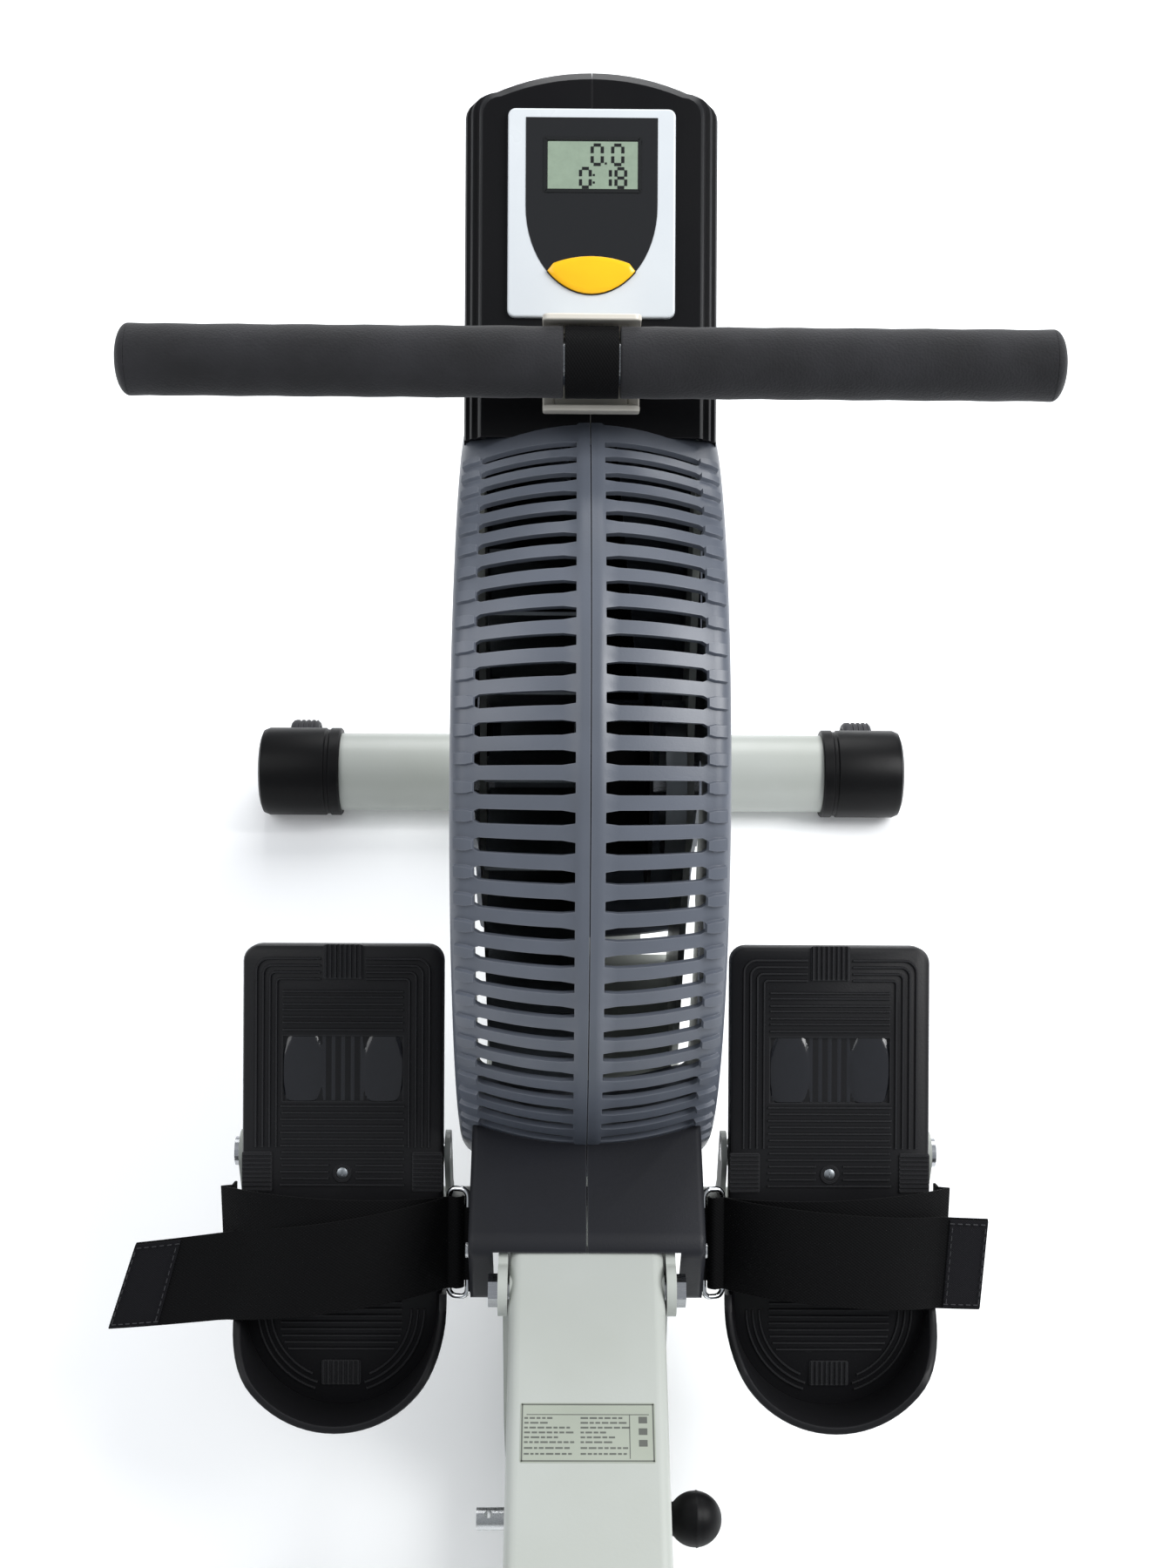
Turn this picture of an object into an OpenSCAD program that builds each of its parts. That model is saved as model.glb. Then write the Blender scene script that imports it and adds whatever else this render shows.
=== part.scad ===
// Air-resistance rowing machine with a folding seat rail.
// The user sits facing +Y and pulls the handle toward -Y; +X is to the right.

/* [Base] */
// Width across the end caps of the front stabiliser
base_w = 496; // [440:2:600]
// Outer diameter of the front stabiliser tube
front_tube_d = 60; // [50:1:64]
// Outer diameter of the middle and rear foot tubes
foot_tube_d = 50; // [40:1:54]
// Width across the end caps of the middle and rear feet
foot_w = 400; // [340:5:480]
// Wall of the round tubes
tube_wall = 2.5; // [1.5:0.5:4]
// Length of an end cap
cap_len = 62; // [50:1:80]
// Thickness of an end cap's wall
cap_wall = 4; // [3:0.5:5]
// Depth of the flat under an end cap
foot_flat = 1.5; // [1:0.5:3]
// Height of the main beam
beam_h = 38; // [30:1:40]
// Radius of a transport wheel
wheel_r = 22; // [18:1:24]
// Width of a transport wheel
wheel_w = 22; // [16:1:24]

/* [Fan] */
// Height of the fan axle above the floor
fan_z = 306; // [300:1:330]
// Radius of the fan cage at its crown
cage_r = 230; // [210:1:234]
// Width of the fan cage
cage_w = 142; // [142:2:180]
// Wall of the fan cage
cage_wall = 3; // [2:0.5:4]
// Radius of the crown across its width
crown_r = 155; // [130:5:220]
// Number of slots behind the tower
rear_slots = 32; // [20:1:32]
// Angle between slots
slot_pitch = 3.7; // [3.4:0.1:3.8]
// Share of the pitch that is open
slot_share = 0.46; // [0.3:0.02:0.6]
// Clearance between fan blades and the cage
blade_gap = 28; // [26:1:45]
// Number of fan blades
blades = 24; // [12:1:30]
// Diameter of the fan axle
axle_d = 17; // [12:1:18]

/* [Tower] */
// Slope of the tower's face
face_tilt = 43; // [40:1:46]
// Width of the tower
tower_w = 138; // [136:2:150]
// Length of the tower's face
face_len = 190; // [184:1:200]
// Depth of the tower behind its face
tower_depth = 55; // [50:1:60]
// Wall of the tower's shells
shell_wall = 3; // [2:0.5:3.5]

/* [Console] */
// Width of the console
console_w = 90; // [84:1:100]
// Height of the console
console_h = 112; // [106:1:114]
// Depth of the console's case
console_t = 18; // [14:1:22]
// Travel of the mode button
button_travel = 1.5; // [1:0.5:2]

/* [Handle] */
// Length of the handle
handle_len = 490; // [400:5:560]
// Diameter of the foam grips
grip_d = 37; // [32:1:37]
// Diameter of the handle's tube
handle_tube_d = 25; // [20:1:28]
// Width of the pull strap
strap_w = 29; // [20:1:30]
// Thickness of the pull strap
strap_t = 2; // [1.5:0.5:2.5]
// Width of the handle's bracket
bracket_w = 51; // [44:1:70]

/* [Rail] */
// Length of the seat rail
rail_len = 1315; // [1150:5:1500]
// Width of the seat rail
rail_w = 80; // [70:1:84]
// Height of the seat rail
rail_h = 40; // [34:1:42]
// Wall of the seat rail
rail_wall = 2.5; // [2:0.5:4]
// Height of the rail's top above the floor
rail_top = 258; // [254:1:262]
// Diameter of the bolt that the rail folds on
hinge_d = 10; // [8:1:12]
// Thickness of the plates beside the rail
plate_t = 5; // [4:0.5:6]
// Diameter of the lock pin
pin_d = 11; // [8:1:12]

/* [Foot plates] */
// Width of a foot plate
plate_w = 110; // [100:1:114]
// Length of a foot plate above its axle
toe_len = 117; // [100:1:125]
// Length of a foot plate below its axle
heel_len = 138; // [130:1:150]
// Thickness of a foot plate
foot_t = 14; // [12:1:16]
// Height of the heel cup above the plate
cup_h = 36; // [26:1:45]
// Wall of the heel cup
cup_wall = 5; // [4:0.5:7]
// How far the heel cup stands out past the plate's side
cup_out = 3; // [1:0.5:3.5]
// Width of a foot strap
foot_strap_w = 50; // [40:1:56]
// Diameter of a foot plate's axle
pedal_axle_d = 10; // [8:1:12]

/* [Seat] */
// Width of the seat
seat_w = 290; // [250:5:340]
// Length of the seat
seat_len = 240; // [200:5:280]
// Thickness of the seat's padding
pad_t = 42; // [30:1:55]
// Radius of the seat's rollers
roller_r = 15; // [13:1:18]
// Place of the seat behind the fan
seat_back = 950; // [800:5:1000]

/* [Fits] */
// Running fit between a shaft and its bore, on the radius
fit = 0.05; // [0.02:0.01:0.1]
// Gap between pieces that are fixed together on round faces
joint_gap = 0.2; // [0.1:0.05:0.4]
// Gap between bodies that pass each other
clear = 0.5; // [0.4:0.1:1]

/* [Hidden] */
$fn = 48;

// Colours
steel_paint = "#d0d4cc";
black_plastic = "#1c1c1e";
shell_black = "#2c2c30";
cage_grey = "#666d78";

// Front stabiliser and its wheels, measured from the fan axle
front_cap_r = front_tube_d / 2 + cap_wall;
front_y = 267;
front_z = front_cap_r - foot_flat;
front_wheel_y = front_y + 30;
front_wheel_z = wheel_r + 6;
front_reach = front_wheel_y + wheel_r;

// Main beam and the rear foot tubes
beam_z = 30;
beam_top = beam_z + beam_h;
beam_w = rail_w + 2;
mid_y = -412;
foot_cap_r = foot_tube_d / 2 + cap_wall;
foot_z = foot_cap_r - foot_flat;
base_plate_t = 5;

// Rail
rail_front = -285;
rail_rear = rail_front - rail_len;
rail_cap_t = 3;
rear_reach = -rail_rear + rail_cap_t;
rear_foot_y = rail_rear + 60;
pivot_y = -305;
pivot_z = rail_top - 10;
pin_y = -408;
pin_z = rail_top - rail_h - 13;
lug_x = 33;
lug_t = 4;

// The part's origin is on the floor, midway between its front and its rear
fan_y = (rear_reach - front_reach) / 2;

// Cage
cage_half = cage_w / 2;
corner_r = 12;
spine_half = 8;
slot_end = cage_half - corner_r - 2;
bottom_gap = 30;

// Tower face: its lower edge lies on the cage
face_y = 54;
face_z = fan_z + cage_r - 9;
top_bevel = 6;
arch_rise = 20;
arch_r = (pow(tower_w / 2, 2) + pow(arch_rise, 2)) / (2 * arch_rise);
console_s = 116;
console_out = 3.5;

// Handle and its bracket, along the face and off the face
handle_s = 27.5;
handle_h = 44;
cap_dome = 7;
bracket_web_h = 19;
bracket_web_t = 3;
low_lip_h = 37;
lip_low = handle_s - grip_d / 2 - clear;
lip_high = handle_s + grip_d / 2 + 1;
high_lip_h = 56;
lip_t = 3.5;

// Guide roller
guide_r = 15;
guide_s = handle_s - guide_r - strap_t / 2;
guide_h = -25;

// Fan inside its cage
upright_x = 58;
upright_t = 4;
fan_r = cage_r - blade_gap;
fan_left = -54;
fan_right = -4;
hub_r = 16;
spool_x = 2;
spool_w = strap_w + 7;
spool_r = 62;
clutch_r = 24;
coil_r = 48;

// Foot plates: local Y runs up the slope and local Z out of the plate, from the axle
pedal_x = 134;
pedal_axle_y = -203.5;
pedal_axle_z = 221.9;
plate_top = 22;
plate_bottom = plate_top - foot_t;
cross_tube_d = 25;
cross_y = -213.5;
cross_z = 178.4;
yoke_t = 3;
yoke_half = plate_w / 2 + clear + yoke_t;
barrel_r = plate_bottom - clear;

// Seat
axle_z = rail_top + roller_r + 0.4;
seat_axle_d = 8;
seat_axle_pitch = 150;
carriage_x = rail_w / 2 + 5;
carriage_t = 3;
carriage_top = axle_z + roller_r + 6;
low_roller_r = 10;
low_axle_z = rail_top - rail_h - low_roller_r - 0.4;

// Puts a shape that is measured from the fan axle into the part's frame
module place() translate([0, fan_y, 0]) children();

// Spreads an outline drawn in Y and Z along X, centred on x
module across(w, x = 0) translate([x, 0, 0]) rotate([90, 0, 90]) linear_extrude(w, center = true) children();

// A round bar along X, centred on x
module bar(r, len, y, z, x = 0) translate([x, y, z]) rotate([0, 90, 0]) cylinder(r = r, h = len, center = true);

// A ring or tube along X
module tube(r, inner, len, y, z, x = 0) difference() {
    bar(r, len, y, z, x);
    bar(inner, len + 2, y, z, x);
}

// The same shape on both sides
module both() for (side = [0, 1]) mirror([side, 0, 0]) children();

// A frame on the tower's face: local Y up the slope, local Z out of the face
module on_face() translate([0, face_y, face_z]) rotate([face_tilt, 0, 0]) children();

// A frame at a foot plate's axle
module on_pedal() translate([0, pedal_axle_y, pedal_axle_z]) rotate([face_tilt, 0, 0]) children();

// The point s along the face and h off it, as [y, z]
function face_point(s, h) = [
    face_y + s * cos(face_tilt) - h * sin(face_tilt),
    face_z + s * sin(face_tilt) + h * cos(face_tilt)
];

// A rectangle with round corners, centred
module round_rect(w, h, r) {
    square([w - 2 * r, h], center = true);
    square([w, h - 2 * r], center = true);
    for (x = [-1, 1], y = [-1, 1]) translate([x * (w / 2 - r), y * (h / 2 - r)]) circle(r);
}

// Sweeps an outline drawn as [radius, x] about the fan axle, angles from straight down
module about_fan(from, angle) translate([0, 0, fan_z]) rotate([0, 90, 0])
    rotate_extrude(start = from, angle = angle, $fn = 96) children();

// One side of the cage's section, grown by g
module cage_section(g = 0) {
    low = cage_half - corner_r;
    edge = cage_r - crown_r + sqrt(pow(crown_r, 2) - pow(low, 2));
    polygon(concat(
        [[0, 0]],
        [for (x = [0 : low / 4 : low + 0.01]) [cage_r - crown_r + sqrt(pow(crown_r, 2) - pow(x, 2)) + g, x]],
        [for (a = [30 : 30 : 90]) [edge - corner_r + (corner_r + g) * cos(a), low + (corner_r + g) * sin(a)]],
        [[0, cage_half + g]]
    ));
}

// The space that the cage and its gap take up
module cage_space(g) about_fan(0, 360) {
    cage_section(g);
    mirror([0, 1]) cage_section(g);
}

module cage_half_shell() place() difference() {
    about_fan(bottom_gap / 2, 360 - bottom_gap) difference() {
        cage_section();
        translate([0, -1]) intersection() {
            cage_section(-cage_wall);
            square([400, cage_half - cage_wall]);
        }
        translate([-1, -1]) square([cage_r * 2, 1]);
    }
    // Slots through the crown, behind the tower
    for (n = [0 : rear_slots - 1]) cage_slot(81.7 + n * slot_pitch);
    // Air intake slots in the flat side
    for (n = [0 : 11]) translate([cage_half, 0, fan_z]) rotate([n * 30 + 15, 0, 0])
        translate([0, 0, 110]) cube([20, 14, 70], center = true);
    // Opening under the tower
    about_fan(120, 45) translate([cage_r - 38, -1]) square([60, cage_half - 7]);
}

// A slot at an angle from the +Y axis
module cage_slot(angle) translate([0, 0, fan_z]) rotate([angle, 0, 0])
    translate([spine_half, cage_r - 30, -slot_pitch * slot_share * PI * cage_r / 360])
        cube([slot_end - spine_half, 50, slot_pitch * slot_share * PI * cage_r / 180]);

module cage_right() color(cage_grey) cage_half_shell();
module cage_left() color(cage_grey) mirror([1, 0, 0]) cage_half_shell();

// The tower's outer form, or its inner form when inset
module tower_form(i = 0) intersection() {
    on_face() translate([0, 0, -250]) linear_extrude(250 - i) intersection() {
        translate([-tower_w / 2 + i, -150]) square([tower_w - 2 * i, 400]);
        translate([0, face_len + top_bevel - arch_r]) circle(arch_r - i, $fn = 96);
    }
    across(tower_w) polygon([
        face_point(-8, 0), face_point(face_len - i, 0), face_point(face_len + top_bevel - i, -8),
        face_point(face_len + 4 - i, -tower_depth + i), [face_y + 174 - i, fan_z + 94],
        [face_y + 170 - i, fan_z + 44], [0, fan_z]
    ]);
}

module housing_half() place() difference() {
    tower_form();
    tower_form(shell_wall);
    cage_space(clear);
    translate([-500, -500, 0]) cube([500, 1500, 1500]);
    on_face() {
        translate([0, console_s]) linear_extrude(60, center = true)
            round_rect(console_w + 2 * joint_gap, console_h + 2 * joint_gap, 4);
        translate([0, handle_s]) cube([strap_w + 8, 30, 20], center = true);
    }
}

module housing_right() color(shell_black) housing_half();
module housing_left() color(shell_black) mirror([1, 0, 0]) housing_half();

module rear_cover() color("#34363a") place() difference() {
    cover_form(0);
    cover_form(shell_wall);
    cage_space(clear);
    // The rail and the plates beside it pass through the rear wall
    translate([-rail_w / 2 - plate_t - 3, -400, 0])
        cube([rail_w + 2 * plate_t + 6, 150, rail_top + 1.5]);
    bar(cross_tube_d / 2 + clear, 300, cross_y, cross_z);
}

// The rear cover's outer form, or its inner form when inset and open below
module cover_form(i) across(2 * (62 - i)) polygon([
    [-200, 266 - i], [-285 + i, 264 - i], [-291 + i, 259.8 - i / 3],
    [-291 + i, 215], [-255 + i, 160 - 5 * i], [-150, 160 - 5 * i], [-150, 266 - i]
]);

module shell_screws() color("#26262a") place() both() {
    for (z = [fan_z + 125, fan_z + 175]) translate([tower_w / 2, 190, z]) rotate([0, 90, 0]) screw_head();
    translate([62, -272, 232]) rotate([0, 90, 0]) screw_head();
}

module screw_head() difference() {
    cylinder(d = 8, h = 2.5);
    translate([-3, -0.6, 1.5]) cube([6, 1.2, 2]);
    translate([-0.6, -3, 1.5]) cube([1.2, 6, 2]);
}

module main_beam() color(steel_paint) place() difference() {
    translate([-beam_w / 2, mid_y - 26, beam_z]) cube([beam_w, front_y - mid_y + 14, beam_h]);
    translate([-beam_w / 2 + 3, mid_y - 22, beam_z + 3]) cube([beam_w - 6, front_y - mid_y + 30, beam_h - 6]);
    bar(front_tube_d / 2 + joint_gap, base_w, front_y, front_z);
    bar(foot_tube_d / 2 + joint_gap, base_w, mid_y, foot_z);
}

module fan_uprights() color(steel_paint) place() {
    translate([-upright_x - upright_t - 2, -55, beam_top])
        cube([2 * (upright_x + upright_t + 2), 110, base_plate_t]);
    both() difference() {
        across(upright_t, upright_x + upright_t / 2) upright_outline();
        bar(axle_d / 2 + fit, 300, 0, fan_z);
        bar(4 + fit, 300, guide_yz[0], guide_yz[1]);
    }
}

guide_yz = face_point(guide_s, guide_h);

module upright_outline() {
    polygon([
        [-50, beam_top + base_plate_t], [50, beam_top + base_plate_t], [38, fan_z - 20],
        [guide_yz[0] + 15, guide_yz[1]], [guide_yz[0] - 15, guide_yz[1]], [-38, fan_z - 20]
    ]);
    translate([0, fan_z]) circle(42);
    translate(guide_yz) circle(15);
}

// The post has jaws that open along the pin's path as the rail folds up
module rear_post() color(steel_paint) place() {
    both() difference() {
        translate([24, mid_y - 26, beam_top]) cube([4, 56, pin_z + 9 - beam_top]);
        translate([26, pin_y, pin_z]) rotate([22.6, 0, 0]) translate([-10, -7, 0]) cube([20, 14, 60]);
        bar(7, 100, pin_y, pin_z);
    }
    translate([-24, mid_y + 26, beam_top]) cube([48, 4, pin_z - 12 - beam_top]);
}

// Plates from the beam to the rail's hinge, with the tube and yokes that carry the foot plates
module pedal_frame() color(steel_paint) place() {
    both() difference() {
        across(plate_t, rail_w / 2 + 1 + plate_t / 2) hinge_plate_outline();
        bar(hinge_d / 2 + fit, 300, pivot_y, pivot_z);
        bar(cross_tube_d / 2, 300, cross_y, cross_z);
        cage_space(3);
    }
    tube(cross_tube_d / 2, cross_tube_d / 2 - tube_wall, 2 * (pedal_x + yoke_half), cross_y, cross_z);
    both() for (x = [-1, 1]) translate([pedal_x + x * (yoke_half - yoke_t / 2), 0, 0]) yoke_ear();
}

module hinge_plate_outline() {
    translate([pivot_y, pivot_z]) circle(13);
    polygon([
        [pivot_y, pivot_z + 13], [pivot_y + 11, pivot_z + 8], [-150, pivot_z + 8], [-150, 160], [-205, 130], [-210, beam_top - 25],
        [-300, beam_top - 25], [-300, beam_top + 20], [-262, 190], [pivot_y - 4, pivot_z - 12.4]
    ]);
}

// An ear from the cross tube up to the foot plate's axle
module yoke_ear() {
    rise = atan2(pedal_axle_z - cross_z, pedal_axle_y - cross_y);
    difference() {
        across(yoke_t) {
            translate([pedal_axle_y, pedal_axle_z]) circle(12);
            translate([cross_y, cross_z]) rotate(rise) translate([0, -12])
                square([norm([pedal_axle_y - cross_y, pedal_axle_z - cross_z]), 24]);
            translate([cross_y, cross_z]) circle(16);
        }
        bar(cross_tube_d / 2, 20, cross_y, cross_z);
        bar(pedal_axle_d / 2 + fit, 20, pedal_axle_y, pedal_axle_z);
    }
}

module pedal_axles() color("silver") place() both() {
    bar(pedal_axle_d / 2, 2 * yoke_half, pedal_axle_y, pedal_axle_z, pedal_x);
    bar(8, 3, pedal_axle_y, pedal_axle_z, pedal_x + yoke_half + 1.5);
}

module front_stabiliser() color(steel_paint) place()
    tube(front_tube_d / 2, front_tube_d / 2 - tube_wall, 2 * wheel_x - wheel_w - 14, front_y, front_z);

// A cap over a tube's end, with its closed end at half the width and a flat to stand on
module end_cap(tube_d, w, y, z) difference() {
    bar(tube_d / 2 + cap_wall, cap_len, y, z, w / 2 - cap_len / 2);
    bar(tube_d / 2 + joint_gap, cap_len, y, z, w / 2 - cap_len / 2 - cap_wall + joint_gap);
    translate([w / 2 - cap_len - 5, y - 50, -50]) cube([cap_len + 10, 100, 50]);
}

module front_end_caps() color(black_plastic) place() both() {
    difference() {
        union() {
            end_cap(front_tube_d, base_w, front_y, front_z);
            wheel_fork();
        }
        bar(front_tube_d / 2 + joint_gap, 200, front_y, front_z, base_w / 2 - 100 - cap_wall);
        bar(wheel_r + 2, wheel_w + 1, front_wheel_y, front_wheel_z, wheel_x);
    }
    bar(4, wheel_w + 8, front_wheel_y, front_wheel_z, wheel_x);
}

wheel_x = base_w / 2 - cap_len / 2;

// Two lugs that hold a transport wheel
module wheel_fork() for (x = [-1, 1]) translate([wheel_x + x * (wheel_w / 2 + 3), 0, 0]) across(5) {
    translate([front_wheel_y, front_wheel_z]) circle(12);
    translate([front_y, front_wheel_z - 12]) square([front_wheel_y - front_y, 24]);
}

module transport_wheel() place() tube(wheel_r, 4 + fit, wheel_w, front_wheel_y, front_wheel_z, wheel_x);
module transport_wheel_right() color("#4a4a4e") transport_wheel();
module transport_wheel_left() color("#4a4a4e") mirror([1, 0, 0]) transport_wheel();

module mid_stabiliser() color(steel_paint) place()
    tube(foot_tube_d / 2, foot_tube_d / 2 - tube_wall, foot_w - 2 * cap_wall, mid_y, foot_z);
module mid_end_caps() color(black_plastic) place() both() end_cap(foot_tube_d, foot_w, mid_y, foot_z);

module rear_foot() color(steel_paint) place() {
    tube(foot_tube_d / 2, foot_tube_d / 2 - tube_wall, foot_w - 2 * cap_wall, rear_foot_y, foot_z);
    difference() {
        translate([-25, rear_foot_y - 20, foot_z]) cube([50, 40, rail_top - rail_h - foot_z]);
        translate([-22, rear_foot_y - 17, 0]) cube([44, 34, rail_top]);
        bar(foot_tube_d / 2, foot_w, rear_foot_y, foot_z);
    }
}
module rear_end_caps() color(black_plastic) place() both() end_cap(foot_tube_d, foot_w, rear_foot_y, foot_z);

module rail() color(steel_paint) place() {
    difference() {
        rail_section(0);
        rail_section(rail_wall);
        bar(hinge_d / 2 + 3, 200, pivot_y, pivot_z);
    }
    tube(hinge_d / 2 + 3, hinge_d / 2 + fit, rail_w, pivot_y, pivot_z);
    both() difference() {
        translate([lug_x, pin_y - 16, pin_z - 15]) cube([lug_t, 32, rail_top - rail_h - pin_z + 15]);
        bar(pin_d / 2 + fit, 200, pin_y, pin_z);
    }
}

module rail_section(i) translate([0, rail_front + (i > 0 ? 1 : 0), rail_top - rail_h / 2]) rotate([90, 0, 0])
    linear_extrude(rail_len + (i > 0 ? 2 : 0)) round_rect(rail_w - 2 * i, rail_h - 2 * i, 6 - i / 2);

module rail_end_cap() color(black_plastic) place() {
    translate([0, rail_rear, rail_top - rail_h / 2]) rotate([90, 0, 0])
        linear_extrude(rail_cap_t) round_rect(rail_w, rail_h, 6);
    translate([0, rail_rear + 20, rail_top - rail_h / 2]) rotate([90, 0, 0])
        linear_extrude(20) round_rect(rail_w - 2 * rail_wall - 1, rail_h - 2 * rail_wall - 1, 4);
}

module rail_stops() color(black_plastic) place() for (y = [rail_front - 215, rail_rear + 75])
    translate([0, y, rail_top]) cylinder(r = 14, h = 16);

module hinge_bolt() color("silver") place() {
    half = rail_w / 2 + 1 + plate_t;
    bar(hinge_d / 2, 2 * half + 2, pivot_y, pivot_z);
    both() translate([half + 2.6, pivot_y, pivot_z]) rotate([0, 90, 0]) difference() {
        cylinder(r = 8.5, h = 5, center = true, $fn = 6);
        cylinder(d = hinge_d, h = 20, center = true);
    }
}

module lock_pin() color("silver") place() difference() {
    bar(pin_d / 2, 103, pin_y, pin_z, -3.5);
    translate([-49, pin_y, pin_z]) cylinder(r = 2, h = 30, center = true);
}
module lock_knob() color(black_plastic) place() difference() {
    union() {
        translate([54, pin_y, pin_z]) sphere(r = 13.5);
        bar(8, 8, pin_y, pin_z, 42);
    }
    bar(pin_d / 2, 20, pin_y, pin_z, 38);
}

module console_case() color("#dfe3e6") place() on_face() translate([0, console_s, console_out]) difference() {
    translate([0, 0, -console_t]) linear_extrude(console_t) round_rect(console_w, console_h, 4);
    translate([0, 0, -console_t + 2]) linear_extrude(console_t - 4.5) round_rect(console_w - 5, console_h - 5, 3);
    translate([0, 0, -5]) linear_extrude(10) panel_outline(0.15);
}

panel_half = 35.4;
panel_top = console_h / 2 - 5;
panel_bend = console_h / 2 - 52.5;
panel_drop = 47.5;

// The dark panel: straight sides above, a round foot below
module panel_outline(g = 0) polygon(concat(
    [[panel_half + g, panel_top + g], [-panel_half - g, panel_top + g]],
    [for (a = [180 : 10 : 360]) [(panel_half + g) * cos(a), panel_bend + (panel_drop + g) * sin(a)]]
));

lcd_w = 48;
lcd_h = 26;
lcd_mid = console_h / 2 - 31;

module console_panel() color("#2d2f31") place() on_face() translate([0, console_s, console_out]) difference() {
    translate([0, 0, -2.5]) linear_extrude(2.8) panel_outline();
    translate([0, lcd_mid, -3]) linear_extrude(5) square([lcd_w + 0.4, lcd_h + 0.4], center = true);
    translate([0, 0, -3]) linear_extrude(5) button_outline(0.4);
}

module lcd() color("#93a091") place() on_face()
    translate([0, console_s + lcd_mid, console_out - 3.5]) linear_extrude(3.2) square([lcd_w, lcd_h], center = true);

button_top = panel_bend - 27;
button_arc_r = 57;

// The foot of the panel's outline, under a flat arc
module button_outline(g = -0.3) intersection() {
    panel_outline(g);
    translate([0, button_top - button_arc_r]) circle(button_arc_r + g, $fn = 96);
}

module mode_button() color("#f7c81c") place() on_face()
    translate([0, console_s, console_out - 2.2 + button_travel]) linear_extrude(3) button_outline();

module handle_bracket() color("#e3ddd2") place() on_face() difference() {
    across(bracket_w) {
        translate([lip_low - lip_t, bracket_web_h]) square([lip_t, low_lip_h - bracket_web_h]);
        translate([lip_high, 0]) square([lip_t, high_lip_h]);
        translate([lip_low, bracket_web_h]) square([lip_high - lip_low, bracket_web_t]);
    }
    translate([0, handle_s, bracket_web_h]) cube([strap_w + 8, 14, 20], center = true);
}

module strap_guide() color(black_plastic) place() on_face() translate([0, handle_s, bracket_web_h - 2])
    difference() {
        union() {
            translate([-strap_w / 2 - 6, -9, 0]) cube([strap_w + 12, 18, 2]);
            translate([-strap_w / 2 - 3.9, -6.9, 0]) cube([strap_w + 7.8, 13.8, 6]);
        }
        cube([strap_w + 4, 9, 30], center = true);
    }

module guide_axle() color("silver") place() bar(4, 2 * (upright_x + upright_t), guide_yz[0], guide_yz[1]);
module guide_roller() color("#e8e8e4") place() tube(guide_r, 4 + fit, 56, guide_yz[0], guide_yz[1], 8);

module fan_axle() color("silver") place() bar(axle_d / 2, 2 * (upright_x + upright_t) + 9, 0, fan_z);
module axle_nuts() color("silver") place() both() translate([upright_x + upright_t + 2.5, 0, fan_z])
    rotate([0, 90, 0]) difference() {
        cylinder(r = 14, h = 4.5, center = true, $fn = 6);
        cylinder(d = axle_d, h = 10, center = true);
    }

module fan_wheel() color("#9aa0a6") place() {
    difference() {
        union() {
            bar(hub_r, spool_x + spool_w - fan_left, 0, fan_z, (fan_left + spool_x + spool_w) / 2);
            bar(fan_r, 3, 0, fan_z, fan_right - 1.5);
        }
        bar(12, 300, 0, fan_z);
    }
    for (n = [0 : blades - 1]) translate([fan_left, 0, fan_z]) rotate([n * 360 / blades, 0, 0])
        translate([0, 90, 0]) rotate([25, 0, 0])
            translate([0, 0, -1]) cube([fan_right - 3 - fan_left, 90, 2]);
}

module fan_bearings() color("silver") place() for (x = [fan_left + 6, spool_x + spool_w - 6])
    tube(12, axle_d / 2 + fit, 10, 0, fan_z, x);

module one_way_clutch() color("#b9bcc0") place()
    tube(clutch_r, hub_r + fit, spool_w - 4, 0, fan_z, spool_x + spool_w / 2);

module spool() color("#3a3d42") place() difference() {
    union() {
        bar(clutch_r + 5, spool_w - 2, 0, fan_z, spool_x + spool_w / 2);
        for (x = [1.5, spool_w - 1.5]) bar(spool_r, 2, 0, fan_z, spool_x + x);
    }
    bar(clutch_r, 300, 0, fan_z);
}
module strap_coil() color("#151515") place()
    tube(coil_r, clutch_r + 5, strap_w, 0, fan_z, spool_x + spool_w / 2);

module recoil_spring_case() color("#5a5d61") place() difference() {
    bar(50, 12, 0, fan_z, upright_x - 6.5);
    bar(axle_d / 2 + joint_gap, 100, 0, fan_z, upright_x);
    bar(46, 8, 0, fan_z, upright_x - 10.5);
}

module speed_sensor() color(black_plastic) place() translate([-upright_x, -12, fan_z + 36])
    cube([3, 24, 14]);

module handle_bar() color("silver") place() on_face()
    tube(handle_tube_d / 2, handle_tube_d / 2 - tube_wall, handle_len - 2 * cap_dome, handle_s, handle_h);

module grips() color("#3a3a3c") place() on_face() both() tube(grip_d / 2, handle_tube_d / 2,
    handle_len / 2 - cap_dome - strap_w / 2, handle_s, handle_h, (handle_len / 2 - cap_dome + strap_w / 2) / 2);

module handle_caps() color(black_plastic) place() on_face() both()
    translate([handle_len / 2 - cap_dome, handle_s, handle_h]) rotate([0, 90, 0]) rotate_extrude() polygon(concat(
        [[0, 0]], [for (a = [0 : 15 : 90]) [grip_d / 2 * cos(a), 1 + (cap_dome - 1) * sin(a)]]
    ));

// The strap: a loop round the handle's tube, the run to the guide roller and the run down to the spool
module pull_strap() color("#151515") place() {
    on_face() {
        tube(handle_tube_d / 2 + strap_t, handle_tube_d / 2, strap_w - 1, handle_s, handle_h);
        translate([-strap_w / 2, handle_s - strap_t / 2, guide_h])
            cube([strap_w, strap_t, handle_h - handle_tube_d / 2 - strap_t - guide_h - 0.5]);
    }
    strap_down();
}

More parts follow.
